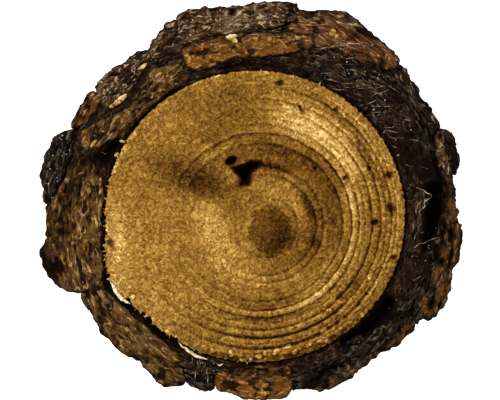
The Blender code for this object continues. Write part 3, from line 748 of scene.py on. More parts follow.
# Patches of the bark, in millimetres: the middle, the half length, the half width, the tilt in
# degrees, and how far it is darkened towards black there, or below 0 how much paler
BARK_PATCHES = (
    (51.3, 22.3, 12.0, 5.5, -65, 0.72), (60.3, 4.0, 8.0, 3.2, 80, 0.9),
    (58.0, 15.7, 5.0, 3.0, 90, 0.8), (31.3, 51.3, 3.4, 2.4, 0, 0.9), (42.0, 51.7, 1.0, 2.4, 0, 0.9),
    (46.3, 40.7, 4.0, 2.2, -50, 0.7), (-5.3, -51.7, 5.0, 2.0, 0, 0.5),
    (-69.8, -16.0, 8.5, 2.2, -68, 0.95), (66.6, 18.0, 7.0, 1.5, 90, 0.9),
    (-54.5, 19.3, 7.0, 2.2, 10, 0.85), (18.8, 69.0, 4.6, 1.5, 0, 0.95),
    (-60.3, 10.7, 7.0, 4.0, 70, 0.4), (-64.7, -5.0, 3.0, 1.4, 0, 0.7),
    (19.7, -54.0, 7.0, 3.0, 10, 0.5), (56.3, -14.3, 7.0, 3.0, 70, 0.55),
    (49.5, -34.0, 5.0, 2.0, 15, 0.85), (-24.5, 62.0, 2.5, 4.0, 0, 0.4),
    (68.4, -8.0, 7.0, 0.9, 85, 0.7), (-7.3, 65.7, 4.5, 2.6, 30, -0.24),
    (0.5, 66.0, 4.0, 2.0, 10, -0.18), (28.0, 59.5, 8.0, 3.0, -10, -0.14),
    (-37.0, 35.0, 9.0, 3.5, 38, -0.14), (-42.0, -35.0, 14.0, 4.0, -43, -0.14),
    (-17.0, 54.5, 6.0, 3.0, 12, -0.12), (53.0, 3.0, 5.0, 2.5, 80, -0.2),
    (5.0, 69.0, 6.0, 2.0, 0, -0.10), (2.0, -56.5, 9.0, 3.0, 0, -0.12),
    (-55.0, -2.0, 4.0, 12.0, 0, -0.08),
)


def bark_patches(points):
    """How far each point of the bark is darkened towards black, and how much paler."""
    flat = points * (1, 1, 0)
    black, paler = np.zeros(len(points)), np.zeros(len(points))
    for *ellipse, amount in BARK_PATCHES:
        off = tilted_offset(flat[:, 0], flat[:, 1], *ellipse)
        near = np.flatnonzero(off < 2)
        uneven = off[near] + 0.25 * lumps(flat[near], 2.5 * MM, seed=ellipse[0])
        cover = np.exp(-(np.clip(uneven, 0, 3) ** 2.6))
        black[near] += max(amount, 0) * cover
        paler[near] += max(-amount, 0) * cover
    return black, paler


def ragged_outline(corners, seed):
    """The outline pressed against its neighbours, made uneven, and kept clear of the wood."""
    ends = [Vector(corner) * MM for corner in corners]
    spots = []
    for start, end in zip(ends[-1:] + ends[:-1], ends):
        steps = max(1, round((end - start).length / OUTLINE_STEP))
        spots += [start.lerp(end, k / steps) for k in range(steps)]
    spots = np.array([tuple(spot) for spot in spots])
    for _ in range(2):
        spots = (np.roll(spots, 1, axis=0) + 2 * spots + np.roll(spots, -1, axis=0)) / 4
    along = np.roll(spots, -1, axis=0) - np.roll(spots, 1, axis=0)
    turns = np.sign((spots[:, 0] * along[:, 1] - spots[:, 1] * along[:, 0]).sum())
    sideways = turns * np.column_stack((along[:, 1], -along[:, 0])) / np.hypot(*along.T)[:, None]
    outward = (sideways * spots).sum(axis=1) / np.hypot(*spots.T)
    spots += sideways * (PLATE_JOIN + (PLATE_SWELL - PLATE_JOIN) * ease(2 * outward))[:, None]
    flat = np.column_stack((spots, np.zeros(len(spots))))
    spots[:, 0] += OUTLINE_WANDER * lumps(flat, 3 * MM, octaves=3, seed=seed)
    spots[:, 1] += OUTLINE_WANDER * lumps(flat, 3 * MM, octaves=3, seed=seed + 9)
    reach = np.hypot(spots[:, 0], spots[:, 1])
    least = wood_radius(np.arctan2(spots[:, 1], spots[:, 0])) + WOOD_CLEARANCE
    return spots * np.maximum(1, least / reach)[:, None]


def block_of(outline, low, high):
    """A closed block between two heights with this outline."""
    shape = bmesh.new()
    bottom = [shape.verts.new((x, y, low)) for x, y in outline]
    top = [shape.verts.new((x, y, high)) for x, y in outline]
    shape.faces.new(bottom)
    shape.faces.new(top)
    for i in range(len(outline)):
        shape.faces.new((bottom[i - 1], bottom[i], top[i], top[i - 1]))
    bmesh.ops.recalc_face_normals(shape, faces=shape.faces)
    mesh = bpy.data.meshes.new("block")
    shape.to_mesh(mesh)
    shape.free()
    return mesh


def remeshed(mesh):
    """The mesh rebuilt from small even cells."""
    helper = bpy.data.objects.new("helper", mesh)
    bpy.context.scene.collection.objects.link(helper)
    remesh = helper.modifiers.new("Cells", "REMESH")
    remesh.mode = "VOXEL"
    remesh.voxel_size = VOXEL
    graph = bpy.context.evaluated_depsgraph_get()
    even = bpy.data.meshes.new_from_object(helper.evaluated_get(graph))
    bpy.data.objects.remove(helper)
    return even


def read_points(mesh):
    """A mesh's points and their normals, as arrays."""
    points = np.empty(3 * len(mesh.vertices))
    normals = np.empty(3 * len(mesh.vertices))
    mesh.vertices.foreach_get("co", points)
    mesh.vertex_normals.foreach_get("vector", normals)
    return points.reshape(-1, 3), normals.reshape(-1, 3)


def along_the_bark(points):
    """Each point as its distance from the log's axis, its distance round the log, its height."""
    reach = np.hypot(points[:, 0], points[:, 1])
    angle = np.remainder(np.arctan2(points[:, 1], points[:, 0]) - ROUND_START, math.tau)
    return np.column_stack((reach, angle * ROUND_RADIUS, points[:, 2]))


def cork_colour(finish, kind, tone, fibre):
    """The colour of one kind of bark: its cork by tone, with its torn fibres over it."""
    dark, body, light, cover, _ = kind
    black = [0.25 * part for part in dark]
    warm = [0.87 * a + 0.13 * b for a, b in zip(body, light)]
    cork = finish.ramp(tone, ((0.05, black), (0.22, dark), (0.46, body), (0.74, warm)))
    return finish.mix(finish.maths("MULTIPLY", fibre, cover), cork, light)


def bark_finish(name, inner_kind, outer_kind, meeting):
    """Dark cork under pale torn fibres, a weathered skin that flakes on the outer side and also paints shade
    along the outer rim of the sawn face, and black painted shade.
    """
    finish = Finish(f"bark_{name}", 0.85)
    grain = finish.attribute("grain", "Vector")
    uneven = finish.between(finish.noise(grain, 0.30), (0.3, 0.7), (-0.16, 0.16))
    across = finish.maths("ADD", finish.attribute("across"), uneven)
    outer_share = finish.between(across, (meeting - 0.08, meeting + 0.08))

    # The fibres lie along winding lines that are drawn out along the layers, broken and in clumps
    layered = finish.stretched(grain, (1.0, 1 / inner_kind[4], 0.5))
    swirl = finish.noise(layered, 0.56, detail=1.2, distortion=0.9)
    line = finish.between(finish.off_middle(swirl), (0.01, 0.068), (1.0, 0.0))
    broken = finish.between(finish.noise(layered, 0.9, detail=0.0), (0.42, 0.52), (0.05, 1.0))
    clumps = finish.between(finish.noise(grain, 0.22, detail=1.0), (0.36, 0.58), (0.45, 1.0))
    line = finish.maths("MULTIPLY", line, finish.maths("MULTIPLY", broken, clumps))
    fine = finish.between(finish.noise(layered, 1.5, distortion=0.6), (0.30, 0.70), (-0.16, 0.16))
    tone = finish.maths("ADD", finish.attribute("tone"), fine)
    fibre = finish.maths("MULTIPLY", line, finish.between(tone, (0.12, 0.50), (0.25, 1.0)))
    inner, outer = (cork_colour(finish, kind, tone, fibre) for kind in (inner_kind, outer_kind))
    cork = finish.mix(outer_share, inner, outer)

    scaly = finish.stretched(grain, (1.0, 1.0, 0.45))
    skin_and_rim_shade = finish.ramp(finish.noise(scaly, 0.55, detail=3.0, distortion=0.5), SKIN_AND_RIM_SHADE_COLOURS)
    skinned_and_rim_shaded = finish.mix(finish.attribute("skin_and_rim_shade"), cork, skin_and_rim_shade)
    height = finish.maths("ADD", finish.maths("MULTIPLY", tone, 0.6), fibre)
    finish.bump(height, BARK_RELIEF)
    # The shade attribute mixes in black: painted shade in the pits and cracks, and the darkened patches.
    return finish.colour(finish.mix(finish.attribute("shade"), skinned_and_rim_shaded, SHADE_AND_PATCH_BLACK))


def bark_plate(name, inner, outer, meeting, inner_drop, outer_drop, roughness, corners, seed):
    """One plate: a block of even cells, its faces worn, split along its layers and furrowed."""
    outline = ragged_outline(corners, seed)
    mesh = remeshed(block_of(outline, PLATE_FLOOR, PLATE_TOP))
    points, normals = read_points(mesh)
    grain = along_the_bark(points)
    reach = grain[:, 0]
    outward = (points[:, :2] / reach[:, None] * normals[:, :2]).sum(axis=1)
    rim = [tuple(spot) for spot in outline.tolist()]
    inside = outline_distance(points[:, 0], points[:, 1], rim)
    share = (reach - reach.min()) / (reach.max() - reach.min())
    level = points[:, 2] / SAWN_FACE

    # The outer faces are furrowed along the log, the inner ones only uneven
    furrows = lumps(grain * (1, 1, 0.22), FURROW_LENGTH, octaves=3, seed=seed)
    scales = lumps(grain * (1, 1, 0.6), SCALE_LENGTH, seed=seed + 3)
    flaked = ease((lumps(grain * (1, 0.6, 1.2), FLAKED_LENGTH, seed=seed + 11) - 0.02) / 0.12)
    sideways = np.clip(np.hypot(normals[:, 0], normals[:, 1]), 0, 1)
    facing_out = ease(outward * 1.4)
    swell = (0.25 + 0.85 * facing_out) * furrows + (0.15 + 0.25 * facing_out) * scales - 0.15
    push = sideways * (roughness * MM * swell - facing_out * SKIN_FLAKE * flaked)
    points[:, :2] += normals[:, :2] * push[:, None]

    # The sawn face falls outwards, its layers torn to different heights, with pits between them
    layers = lumps(grain * (1, 0.32, 0), LAYER_LENGTH, octaves=3, seed=seed + 5)
    chaff = lumps(grain * (1, 0.7, 1), CHAFF_LENGTH, seed=seed + 6)
    cluster = ease(0.75 + 1.5 * lumps(grain, 7 * MM, octaves=1, seed=seed + 9))
    pits = ease((lumps(grain * (1, 0.55, 0), PIT_LENGTH, seed=seed + 8) - 0.14) / 0.22) * cluster
    torn = np.clip(layers + 0.2, 0, 1) + 0.5 * abs(chaff) + 1.1 * pits
    # The band along each plate's outline is worn down, and it and the walls of the cracks, but not the outer
    # side, are painted with shade.
    edge = np.exp(-((np.clip(inside, 0, 1) / EDGE_WEAR_AND_SHADE_WIDTH) ** 2))
    fall = (inner_drop + (outer_drop - inner_drop) * share + roughness * torn) * MM
    points[:, 2] -= ease((level - 0.55) / 0.4) * (fall + EDGE_WEAR * edge)
    near_floor = 1 - ease(level / 0.12)
    points[:, 2] += near_floor * FLOOR_WEAR * abs(lumps(grain, 2.5 * MM, seed=seed + 7))
    points[:, 2] = np.clip(points[:, 2], 0.05 * MM, SAWN_FACE)
    mesh.vertices.foreach_set("co", points.ravel())
    mesh.update()

    black, paler = bark_patches(points)
    # The skin covers the outer faces. On the sawn face it also covers a band along the outer rim, where its
    # dark is painted shade standing for the shaded side.
    skin_and_rim_shade = ease(1.2 - inside / SKIN_AND_RIM_SHADE_DEPTH) * ease(0.3 + 1.4 * outward * sideways + 2 * (share - 0.6))
    skin_and_rim_shade = np.where(share > 0.35, skin_and_rim_shade, 0) * ease(0.5 + furrows + 2 * facing_out)
    vector_attribute(mesh, "grain", grain / MM + (seed, seed, 0))
    float_attribute(mesh, "skin_and_rim_shade", skin_and_rim_shade)
    # Painted shade in part: the tone falls where the torn layers sink deeper; it also varies with the chaff
    # and the furrows and rises in the paler patches.
    float_attribute(mesh, "tone", 0.42 - 0.24 * layers + 0.17 * chaff + 0.10 * furrows + paler)
    float_attribute(mesh, "across", share)
    # Painted shade: black in the pits, along the plate's edges and on the walls of the cracks, with the
    # darkened patches on top.
    float_attribute(mesh, "shade", np.clip(0.9 * pits + edge * (1 - facing_out) + black, 0, 1) ** 0.8)
    finish = bark_finish(name, BARK_KINDS[inner], BARK_KINDS[outer], meeting)
    return points, finished_object(f"bark_{name}", mesh, finish)


face_points = []
for number, (name, plate) in enumerate(BARK_PLATES.items()):
    points, piece = bark_plate(name, *plate, seed=3 + 1.7 * number)
    face_points.append(points)
    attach(piece, "root")
    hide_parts("bark")

# The inner bark
# Dark, fibrous bast that joins the plates to the wood and to each other. It rotted and shrank
# back from the sawn faces, and shows as the dark floor of every crack. Its near-black colour is
# partly its own dark brown and partly painted shade for those cracks.
CORE_CENTRE = np.array((-1.5, 5.0)) * MM
CORE_HALF_SIZE = np.array((64.0, 60.0)) * MM
BAST_ROUND = 800
BAST_ACROSS = 26
BAST_TOP = 20.0 * MM
BAST_BOTTOM = 4.5 * MM
# Between which heights its face stays, how deep it is torn, how far it falls at its outer edge,
# how high its outer side stands and how clear it stays of the wood
BAST_LIMITS = (10 * MM, 21.4 * MM)
BAST_TEAR = 1.6 * MM
BAST_EDGE_FALL = 3 * MM
BAST_OUTER_SIDE = 8 * MM
BAST_GAP = 0.4 * MM
# Where it is rotted away: from one angle to another, how far out from the wood, half the width,
# and how deep. Each void shallows over VOID_END degrees at its ends.
VOID_END = 4
BAST_VOIDS = (
    (198, 252, 0.6, 1.5, 3.6), (-58, -29, 3.6, 3.2, 6.0), (-13, 12, 10.5, 3.4, 8.0),
    (66, 104, 1.6, 1.4, 2.5), (149, 163, 3.0, 2.8, 4.2), (20, 60, 0.6, 1.0, 1.5),
    (118, 146, 0.8, 1.6, 2.0),
)


def bast_fall(angle, out):
    """How far the inner bark is rotted away at an angle and a distance out from the wood."""
    fall = np.zeros_like(out)
    for low, high, middle, half_width, deep in BAST_VOIDS:
        along = np.remainder(np.degrees(angle) - low + 180, 360) - 180
        window = ease(along / VOID_END) * ease((high - low - along) / VOID_END)
        fall += deep * MM * window * np.exp(-(((out / MM - middle) / half_width) ** 2))
    return fall


def inner_bark():
    """A closed ring between the wood and an ellipse, its upper face torn into fibres."""
    angle = np.arange(BAST_ROUND) / BAST_ROUND * math.tau
    round_log = np.column_stack((np.cos(angle), np.sin(angle)))
    inner = (wood_radius(angle) + BAST_GAP)[:, None] * round_log
    outer = CORE_CENTRE + CORE_HALF_SIZE * round_log
    loops, void_shade = [], []
    for step in range(BAST_ACROSS + 1):
        flat = inner + (outer - inner) * step / BAST_ACROSS
        loop = np.column_stack((flat, np.zeros(BAST_ROUND)))
        grain = along_the_bark(loop)
        turn = np.arctan2(flat[:, 1], flat[:, 0])
        fall = bast_fall(turn, grain[:, 0] - wood_radius(turn))
        torn = lumps(grain * (1, 0.35, 0), LAYER_LENGTH, octaves=3, seed=51.0)
        torn += 0.4 * lumps(loop, 7 * MM, seed=53.0)
        edge = ease((step / BAST_ACROSS - 0.8) / 0.2)
        height = BAST_TOP + BAST_TEAR * torn - BAST_EDGE_FALL * edge - fall
        loop[:, 2] = np.clip(height, *BAST_LIMITS)
        loops.append(loop)
        # Painted shade: the bast darkens the further it falls into a void, and unevenly with its tears.
        void_shade.append(np.clip(fall / (4 * MM) + 0.5 * torn, 0, 1))
    for share in (0.66, 0.33, 0.0):
        loops.append(np.column_stack((outer, np.full(BAST_ROUND, BAST_BOTTOM + share * BAST_OUTER_SIDE))))
    for low in ((inner + outer) / 2, inner):
        loops.append(np.column_stack((low, np.full(BAST_ROUND, BAST_BOTTOM))))
    points = np.concatenate(loops)
    index = np.arange(len(points)).reshape(len(loops), BAST_ROUND)
    next_loop = np.roll(index, -1, axis=0)
    faces = np.stack((index, next_loop, np.roll(next_loop, -1, axis=1), np.roll(index, -1, axis=1)), axis=-1)
    mesh = bpy.data.meshes.new("inner_bark")
    mesh.from_pydata(points.tolist(), [], faces.reshape(-1, 4).tolist())
    grain = along_the_bark(points)
    shade = np.zeros(len(points))
    # The shade holds the painted shade of the voids, and the darkened patches are added to it.
    shade[: len(void_shade) * BAST_ROUND] = np.concatenate(void_shade)
    vector_attribute(mesh, "grain", grain / MM)
    float_attribute(mesh, "shade", np.clip(shade + bark_patches(points)[0], 0, 1))
    float_attribute(mesh, "tone", 0.38 + 0.2 * lumps(grain * (1, 0.4, 1), 2.0 * MM, seed=57.0))
    float_attribute(mesh, "across", np.full(len(points), 0.5))
    float_attribute(mesh, "skin_and_rim_shade", np.zeros(len(points)))
    return points, mesh


bast_points, bast_mesh = inner_bark()
face_points.append(bast_points)
# The bast's colours: its own dark brown, made near black as painted shade for the floors of the cracks.
BAST_KIND = ((0.003, 0.001, 0.001), (0.017, 0.008, 0.004), (0.16, 0.095, 0.045), 0.5, 2.6)
bast = finished_object("inner_bark", bast_mesh, bark_finish("bast", BAST_KIND, BAST_KIND, 0.5))
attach(bast, "root")
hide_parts("bark")

# The pale bast
# The youngest bast is cream and stringy. Strips of it tore off the wood with the bark and stand in
# the lower left crack, ragged tufts fringe the wood, and threads of it lie on the dark bark.
STRAND_SIDES = 5
STRIP_STEP = 0.5 * MM
# How many specks of colour lie on a metre of bast, how high bark stands that carries threads, and
# the cell and the reach of the map of its heights
BAST_SPECKLE = 700
CARRYING_HEIGHT = 0.6 * SAWN_FACE
FACE_CELL = 0.5 * MM
FACE_REACH = 80 * MM
# The strips, in millimetres: how wide and how high they are, how far their tops lie below the
# sawn face, and their routes
STRIPS = (
    (2.0, 2.0, 0.3, ((-49.9, -20.8), (-48.8, -20.6), (-47.7, -22.4), (-46.9, -24.6), (-45.6, -26.4),
                      (-43.9, -27.9), (-42.1, -29.1))),
    (1.3, 2.0, 0.5, ((-25.8, -42.2), (-23.3, -44.2), (-20.8, -46.2), (-18.3, -47.2), (-16.3, -47.6))),
    (0.7, 1.2, 1.0, ((-12.9, -49.5), (-11.8, -49.8), (-10.9, -49.1))),
    (0.38, 0.7, 0.9, ((50.4, 11.3), (56.5, 8.6), (59.0, 6.6), (56.2, 5.2), (56.5, 3.4), (54.4, 1.9),
                     (55.1, -1.5), (54.4, -3.4), (53.6, -5.8), (52.2, -9.2))),
    (0.45, 0.8, 0.0, ((20.0, 56.0), (25.4, 56.7), (29.3, 57.7), (33.5, 57.9), (38.0, 56.6))),
    (0.4, 0.8, 0.2, ((-4.6, 59.8), (-2.2, 60.8), (3.9, 60.6), (7.3, 60.1), (10.7, 60.4))),
    (0.3, 0.6, 1.7, ((52.0, -10.6), (57.0, -8.2), (62.0, -6.4))),
    (0.5, 0.9, 2.2, ((-16.4, -49.8), (-16.3, -53.0), (-15.9, -56.6))),
    (0.4, 0.8, 2.4, ((-20.0, -50.8), (-20.6, -53.5), (-20.4, -55.6))),
)
# Threads strewn on the bark: how many, from one angle to another, from one distance from the wood
# to another, their lengths, their direction and its spread in degrees
THREADS = (
    (34, 32, 68, 1.5, 11.0, (2.0, 6.5), 2, 15), (9, 6, 32, 2.0, 11.0, (2.0, 4.0), -8, 15),
    (24, 72, 118, 13.0, 20.0, (2.0, 5.0), 12, 12), (16, 40, 72, 8.0, 16.0, (2.0, 6.0), -28, 12),
    (10, 246, 253, 0.5, 8.0, (2.0, 5.0), 85, 12), (4, 206, 238, 3.0, 12.0, (1.5, 4.0), -45, 16),
    (6, 332, 360, 3.0, 14.0, (1.5, 4.0), 38, 18), (8, 152, 200, 2.0, 16.0, (1.0, 3.0), 0, 30),
)
# The half widths of a thread, in millimetres
THREAD_HALF_WIDTHS = (0.07, 0.15)
# Tufts on the wood's rim: how many, how far they spread to each side of the torn rim in radians,
# and their lengths and half widths in millimetres
TUFTS = 90
TUFT_SPREAD = 0.75
TUFT_LENGTHS = (0.5, 1.7)
TUFT_HALF_WIDTHS = (0.09, 0.2)


def strand(route, half_width, half_height):
    """A tapering strand along a route: its points, in rings of STRAND_SIDES."""
    route = np.asarray(route, dtype=float)
    along = np.gradient(route, axis=0)
    side = np.column_stack((-along[:, 1], along[:, 0])) / (np.hypot(along[:, 0], along[:, 1])[:, None] + 1e-9)
    turn = np.arange(STRAND_SIDES) / STRAND_SIDES * math.tau
    share = np.linspace(-1, 1, len(route))
    taper = (0.12 + 0.88 * (1 - abs(share) ** 2.5))[:, None]
    rings = np.repeat(route[:, None, :], STRAND_SIDES, axis=1)
    rings[:, :, :2] += side[:, None, :] * (half_width * taper * np.cos(turn))[:, :, None]
    rings[:, :, 2] += half_height * taper * np.sin(turn)
    return rings


def strand_mesh(name, strands):
    """One mesh of many closed strands."""
    points, faces, count = [], [], 0
    for rings in strands:
        index = count + np.arange(rings.shape[0] * STRAND_SIDES).reshape(-1, STRAND_SIDES)
        turned = np.roll(index, -1, axis=1)
        faces += np.stack((index[:-1], turned[:-1], turned[1:], index[1:]), axis=-1).reshape(-1, 4).tolist()
        faces += [index[0, ::-1].tolist(), index[-1].tolist()]
        points.append(rings.reshape(-1, 3))
        count += index.size
    mesh = bpy.data.meshes.new(name)
    mesh.from_pydata(np.concatenate(points).tolist(), [], faces)
    return mesh


def smooth_route(corners, step):
    """A smooth route through the corners, in metres, with a point about every step."""
    corners = np.asarray(corners, dtype=float) * MM
    gone = np.concatenate(([0], np.cumsum(np.hypot(*np.diff(corners, axis=0).T))))
    spots = np.linspace(0, gone[-1], max(4, round(gone[-1] / step)))
    route = np.column_stack((np.interp(spots, gone, corners[:, 0]), np.interp(spots, gone, corners[:, 1])))
    for _ in range(2):
        route[1:-1] = (route[:-2] + 2 * route[1:-1] + route[2:]) / 4
    return route


def face_map(parts):
    """The highest point of the bark in each cell of a square grid, or beside an empty cell."""
    cells = round(2 * FACE_REACH / FACE_CELL)
    heights = np.zeros((cells, cells))
    for points in parts:
        spots = ((points[:, :2] + FACE_REACH) / FACE_CELL).astype(int)
        np.maximum.at(heights, (spots[:, 0], spots[:, 1]), points[:, 2])
    around = [np.roll(heights, (i, j), axis=(0, 1)) for i in (-1, 0, 1) for j in (-1, 0, 1)]
    return np.where(heights > 0, heights, np.max(around, axis=0))


bark_heights = face_map(face_points)


def bark_height(x, y):
    """How high the bark is at each spot."""
    along = ((np.asarray(x) + FACE_REACH) / FACE_CELL).astype(int)
    across = ((np.asarray(y) + FACE_REACH) / FACE_CELL).astype(int)
    return bark_heights[along, across]


def strip_strands():
    """The strips of bast, uneven along their length."""
    strands = []
    for number, (width, height, drop, corners) in enumerate(STRIPS):
        route = smooth_route(corners, STRIP_STEP)
        flat = np.column_stack((route, np.zeros(len(route))))
        route = route + 0.4 * MM * np.column_stack((
            lumps(flat, 1.5 * MM, seed=61.0 + number), lumps(flat, 1.5 * MM, seed=71.0 + number),
        ))
        top = SAWN_FACE - drop * MM + 0.3 * MM * lumps(flat, 1.5 * MM, octaves=1, seed=81.0)
        centre = np.column_stack((route, top - height / 2 * MM))
        swell = (0.75 + 0.6 * abs(lumps(flat, 1.4 * MM, seed=63.0)))[:, None]
        strands.append(strand(centre, width / 2 * MM * swell, height / 2 * MM))
    return strands


def lying_strand(start_x, start_y, length, direction, half_width, draws):
    """A thin curved thread that lies on the bark from a spot, in a direction."""
    share = np.linspace(0, 1, 7)
    bend = draws.uniform(-0.5, 0.5)
    way = direction + bend * share
    x = start_x + np.concatenate(([0], np.cumsum(np.cos(way[:-1])))) * length / 6
    y = start_y + np.concatenate(([0], np.cumsum(np.sin(way[:-1])))) * length / 6
    z = bark_height(x, y)
    z[1:-1] = np.maximum(z[1:-1], (z[:-2] + z[2:]) / 2)
    return strand(np.column_stack((x, y, z + 0.4 * half_width)), half_width, half_width)


def thread_strands():
    """Threads of bast strewn on the bark, each bundle by its own rule."""
    draws = np.random.default_rng(5)
    strands = []
    for amount, low, high, nearest, furthest, lengths, direction, spread in THREADS:
        for _ in range(amount):
            angle = math.radians(draws.uniform(low, high))
            reach = wood_radius(angle) + draws.uniform(nearest, furthest) * MM
            length = draws.uniform(*lengths) * MM
            way = math.radians(direction + draws.normal(0, spread))
            start_x = reach * math.cos(angle) - length / 2 * math.cos(way)
            start_y = reach * math.sin(angle) - length / 2 * math.sin(way)
            end_x, end_y = start_x + length * math.cos(way), start_y + length * math.sin(way)
            if min(bark_height(start_x, start_y), bark_height(end_x, end_y)) < CARRYING_HEIGHT:
                continue
            half_width = draws.uniform(*THREAD_HALF_WIDTHS) * MM
            strands.append(lying_strand(start_x, start_y, length, way, half_width, draws))
    return strands


def tuft_strands():
    """Short stiff fibres that fringe the wood, thickest where the bast tore away with it."""
    draws = np.random.default_rng(8)
    strands = []
    while len(strands) < TUFTS:
        angle = draws.uniform(0, math.tau)
        off = math.remainder(angle - TORN_RIM_ANGLE, math.tau)
        if draws.uniform() > 0.03 + math.exp(-((off / TUFT_SPREAD) ** 2)):
            continue
        rim = wood_radius(angle) - torn_rim(np.array([angle]))[0]
        reach = rim + draws.uniform(-0.5, 0.25) * MM
        way = angle + draws.normal(0, 0.9)
        length = draws.uniform(*TUFT_LENGTHS) * MM
        share = np.linspace(-0.4, 0.6, 5)
        way = way + draws.uniform(-1, 1) * share
        x = reach * math.cos(angle) + share * length * np.cos(way)
        y = reach * math.sin(angle) + share * length * np.sin(way)
        z = SAWN_FACE - (0.25 + draws.uniform(0, 0.5) + 0.9 * share**2) * MM
        half_width = draws.uniform(*TUFT_HALF_WIDTHS) * MM
        strands.append(strand(np.column_stack((x, y, z)), half_width, 0.13 * MM))
    return strands


def bast_fibre_finish(name, shadow, body, light):
    """Dry stringy bast, its colour uneven along each strand."""
    finish = Finish(name, 0.8)
    uneven = finish.noise(finish.place(), BAST_SPECKLE, distortion=0.4)
    finish.bump(uneven, 0.1 * MM)
    return finish.colour(finish.ramp(uneven, ((0.35, shadow), (0.50, body), (0.68, light))))


def fibre_piece(name, strands, finish, carrier):
    """A piece made of strands that rides on the slice and stands for part of one of its nodes."""
    piece = finished_object(name, strand_mesh(name, strands), finish)
    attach(piece, "root")
    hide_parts(carrier)


strips = strip_strands()
fibre_piece("bast_strips", strips[:3], bast_fibre_finish(
    "cream_bast", (0.30, 0.19, 0.08), (0.62, 0.47, 0.27), (0.85, 0.72, 0.50),
), "bark")
fibre_piece("torn_edges", strips[3:], bast_fibre_finish(
    "grey_bast", (0.030, 0.018, 0.009), (0.14, 0.098, 0.055), (0.44, 0.34, 0.22),
), "bark")
fibre_piece("bark_threads", thread_strands(), bast_fibre_finish(
    "brown_bast", (0.030, 0.018, 0.008), (0.12, 0.085, 0.045), (0.30, 0.24, 0.15),
), "bark")
fibre_piece("wood_tufts", tuft_strands(), bast_fibre_finish(
    "golden_bast", (0.13, 0.065, 0.015), (0.38, 0.235, 0.080), (0.66, 0.48, 0.22),
), "wood")

# The loose scraps
# Flakes of inner bark and grains of sawdust that stuck to the torn faces when the slice was cut.
# The grains are whitest where they lie on the dark bark.
SCRAP_SPECKLE = 900
# How far flakes and grains lean, in radians, and how finely they are cut
FLAKE_LEAN = 0.15
GRAIN_LEAN = 0.3
FLAKE_DETAIL = 3
GRAIN_DETAIL = 1
# The kinds of scrap: the colours of their specks
SCRAP_KINDS = {
    "cream": ((0.28, 0.19, 0.06), (0.62, 0.50, 0.24)),
    "honey": ((0.11, 0.055, 0.010), (0.44, 0.27, 0.065)),
    "orange": ((0.13, 0.050, 0.014), (0.62, 0.40, 0.17)),
    "rust": ((0.020, 0.007, 0.003), (0.085, 0.032, 0.014)),
    "ash": ((0.08, 0.062, 0.042), (0.42, 0.35, 0.26)),
}
# Each flake: its kind, its middle in millimetres, its half length, half width, half thickness and
# its tilt in degrees
FLAKES = (
    ("cream", -8.1, 60.1, 1.7, 0.9, 0.5, 10), ("cream", -7.0, 58.8, 0.7, 0.9, 0.4, 60),
    ("honey", 25.6, 61.6, 1.3, 1.0, 0.5, 30), ("honey", 27.0, 60.2, 0.8, 1.1, 0.5, 20),
    ("cream", -37.6, 50.3, 1.3, 0.6, 0.5, 38), ("orange", -45.4, 38.9, 2.6, 0.9, 0.6, 40),
    ("orange", -47.6, 37.3, 1.4, 0.6, 0.5, 30), ("orange", -43.9, 40.3, 1.0, 0.5, 0.5, 55),
    ("rust", 36.4, 53.0, 4.6, 1.9, 0.7, -12), ("rust", 30.8, 55.0, 1.8, 1.0, 0.6, -20),
    ("orange", 30.2, 55.2, 0.7, 0.5, 0.4, 0), ("cream", -44.5, 25.2, 1.0, 0.45, 0.4, -20),
    ("cream", -46.6, 20.8, 0.9, 0.6, 0.4, 40), ("honey", -54.3, 24.5, 1.6, 0.4, 0.4, 50),
    ("ash", 47.5, 20.6, 0.5, 0.35, 0.3, 30), ("ash", -5.6, 68.0, 1.3, 0.35, 0.3, 50),
    ("honey", 45.8, 30.2, 0.5, 0.3, 0.3, 40), ("rust", 66.0, -3.0, 0.6, 2.6, 0.4, 10),
    ("rust", 62.2, -22.0, 0.6, 2.4, 0.4, -30), ("rust", 52.8, -21.0, 1.0, 0.5, 0.4, -20),
    ("rust", -68.0, -12.5, 0.8, 3.0, 0.5, 8), ("honey", 3.0, -59.0, 1.6, 0.7, 0.4, 10),
)
# Grains: how many, from one angle to another, from one distance from the wood to another, and
# their greatest half size in millimetres
GRAINS = (
    (22, 26, 66, 1.5, 11.0, 0.34), (14, 76, 112, 10.0, 21.0, 0.38), (26, 156, 176, 15.0, 21.0, 0.36),
    (10, 122, 146, 10.0, 20.0, 0.32), (8, 290, 330, 2.0, 14.0, 0.26), (6, 200, 240, 4.0, 12.0, 0.28),
    (10, 245, 256, 1.0, 8.0, 0.28), (10, 46, 70, 8.0, 17.0, 0.34), (8, 345, 365, 3.0, 17.0, 0.28),
)


def scrap(shape, middle, half_sizes, tilt, lean, detail, seed):
    """Adds one lumpy scrap to a mesh, turned on the bark and leaning a little."""
    made = bmesh.ops.create_icosphere(shape, subdivisions=detail, radius=1.0)["verts"]
    turn = Matrix.Rotation(math.radians(tilt), 3, "Z") @ Matrix.Rotation(lean, 3, "X")
    for vert in made:
        uneven = 1 + 0.5 * noise.fractal(vert.co * 2.2 + Vector((seed, 0, 0)), 0.8, 2.1, 2)
        body = Vector(side * half for side, half in zip(vert.co * uneven, half_sizes))
        vert.co = middle + turn @ body


def scrap_finish(kind):
    """The broken face of a scrap, its colour uneven."""
    dark, light = SCRAP_KINDS[kind]
    finish = Finish(f"scrap_{kind}", 0.8)
    uneven = finish.noise(finish.place(), SCRAP_SPECKLE, distortion=0.5)
    finish.bump(uneven, 0.12 * MM)
    return finish.colour(finish.ramp(uneven, ((0.38, dark), (0.62, light))))


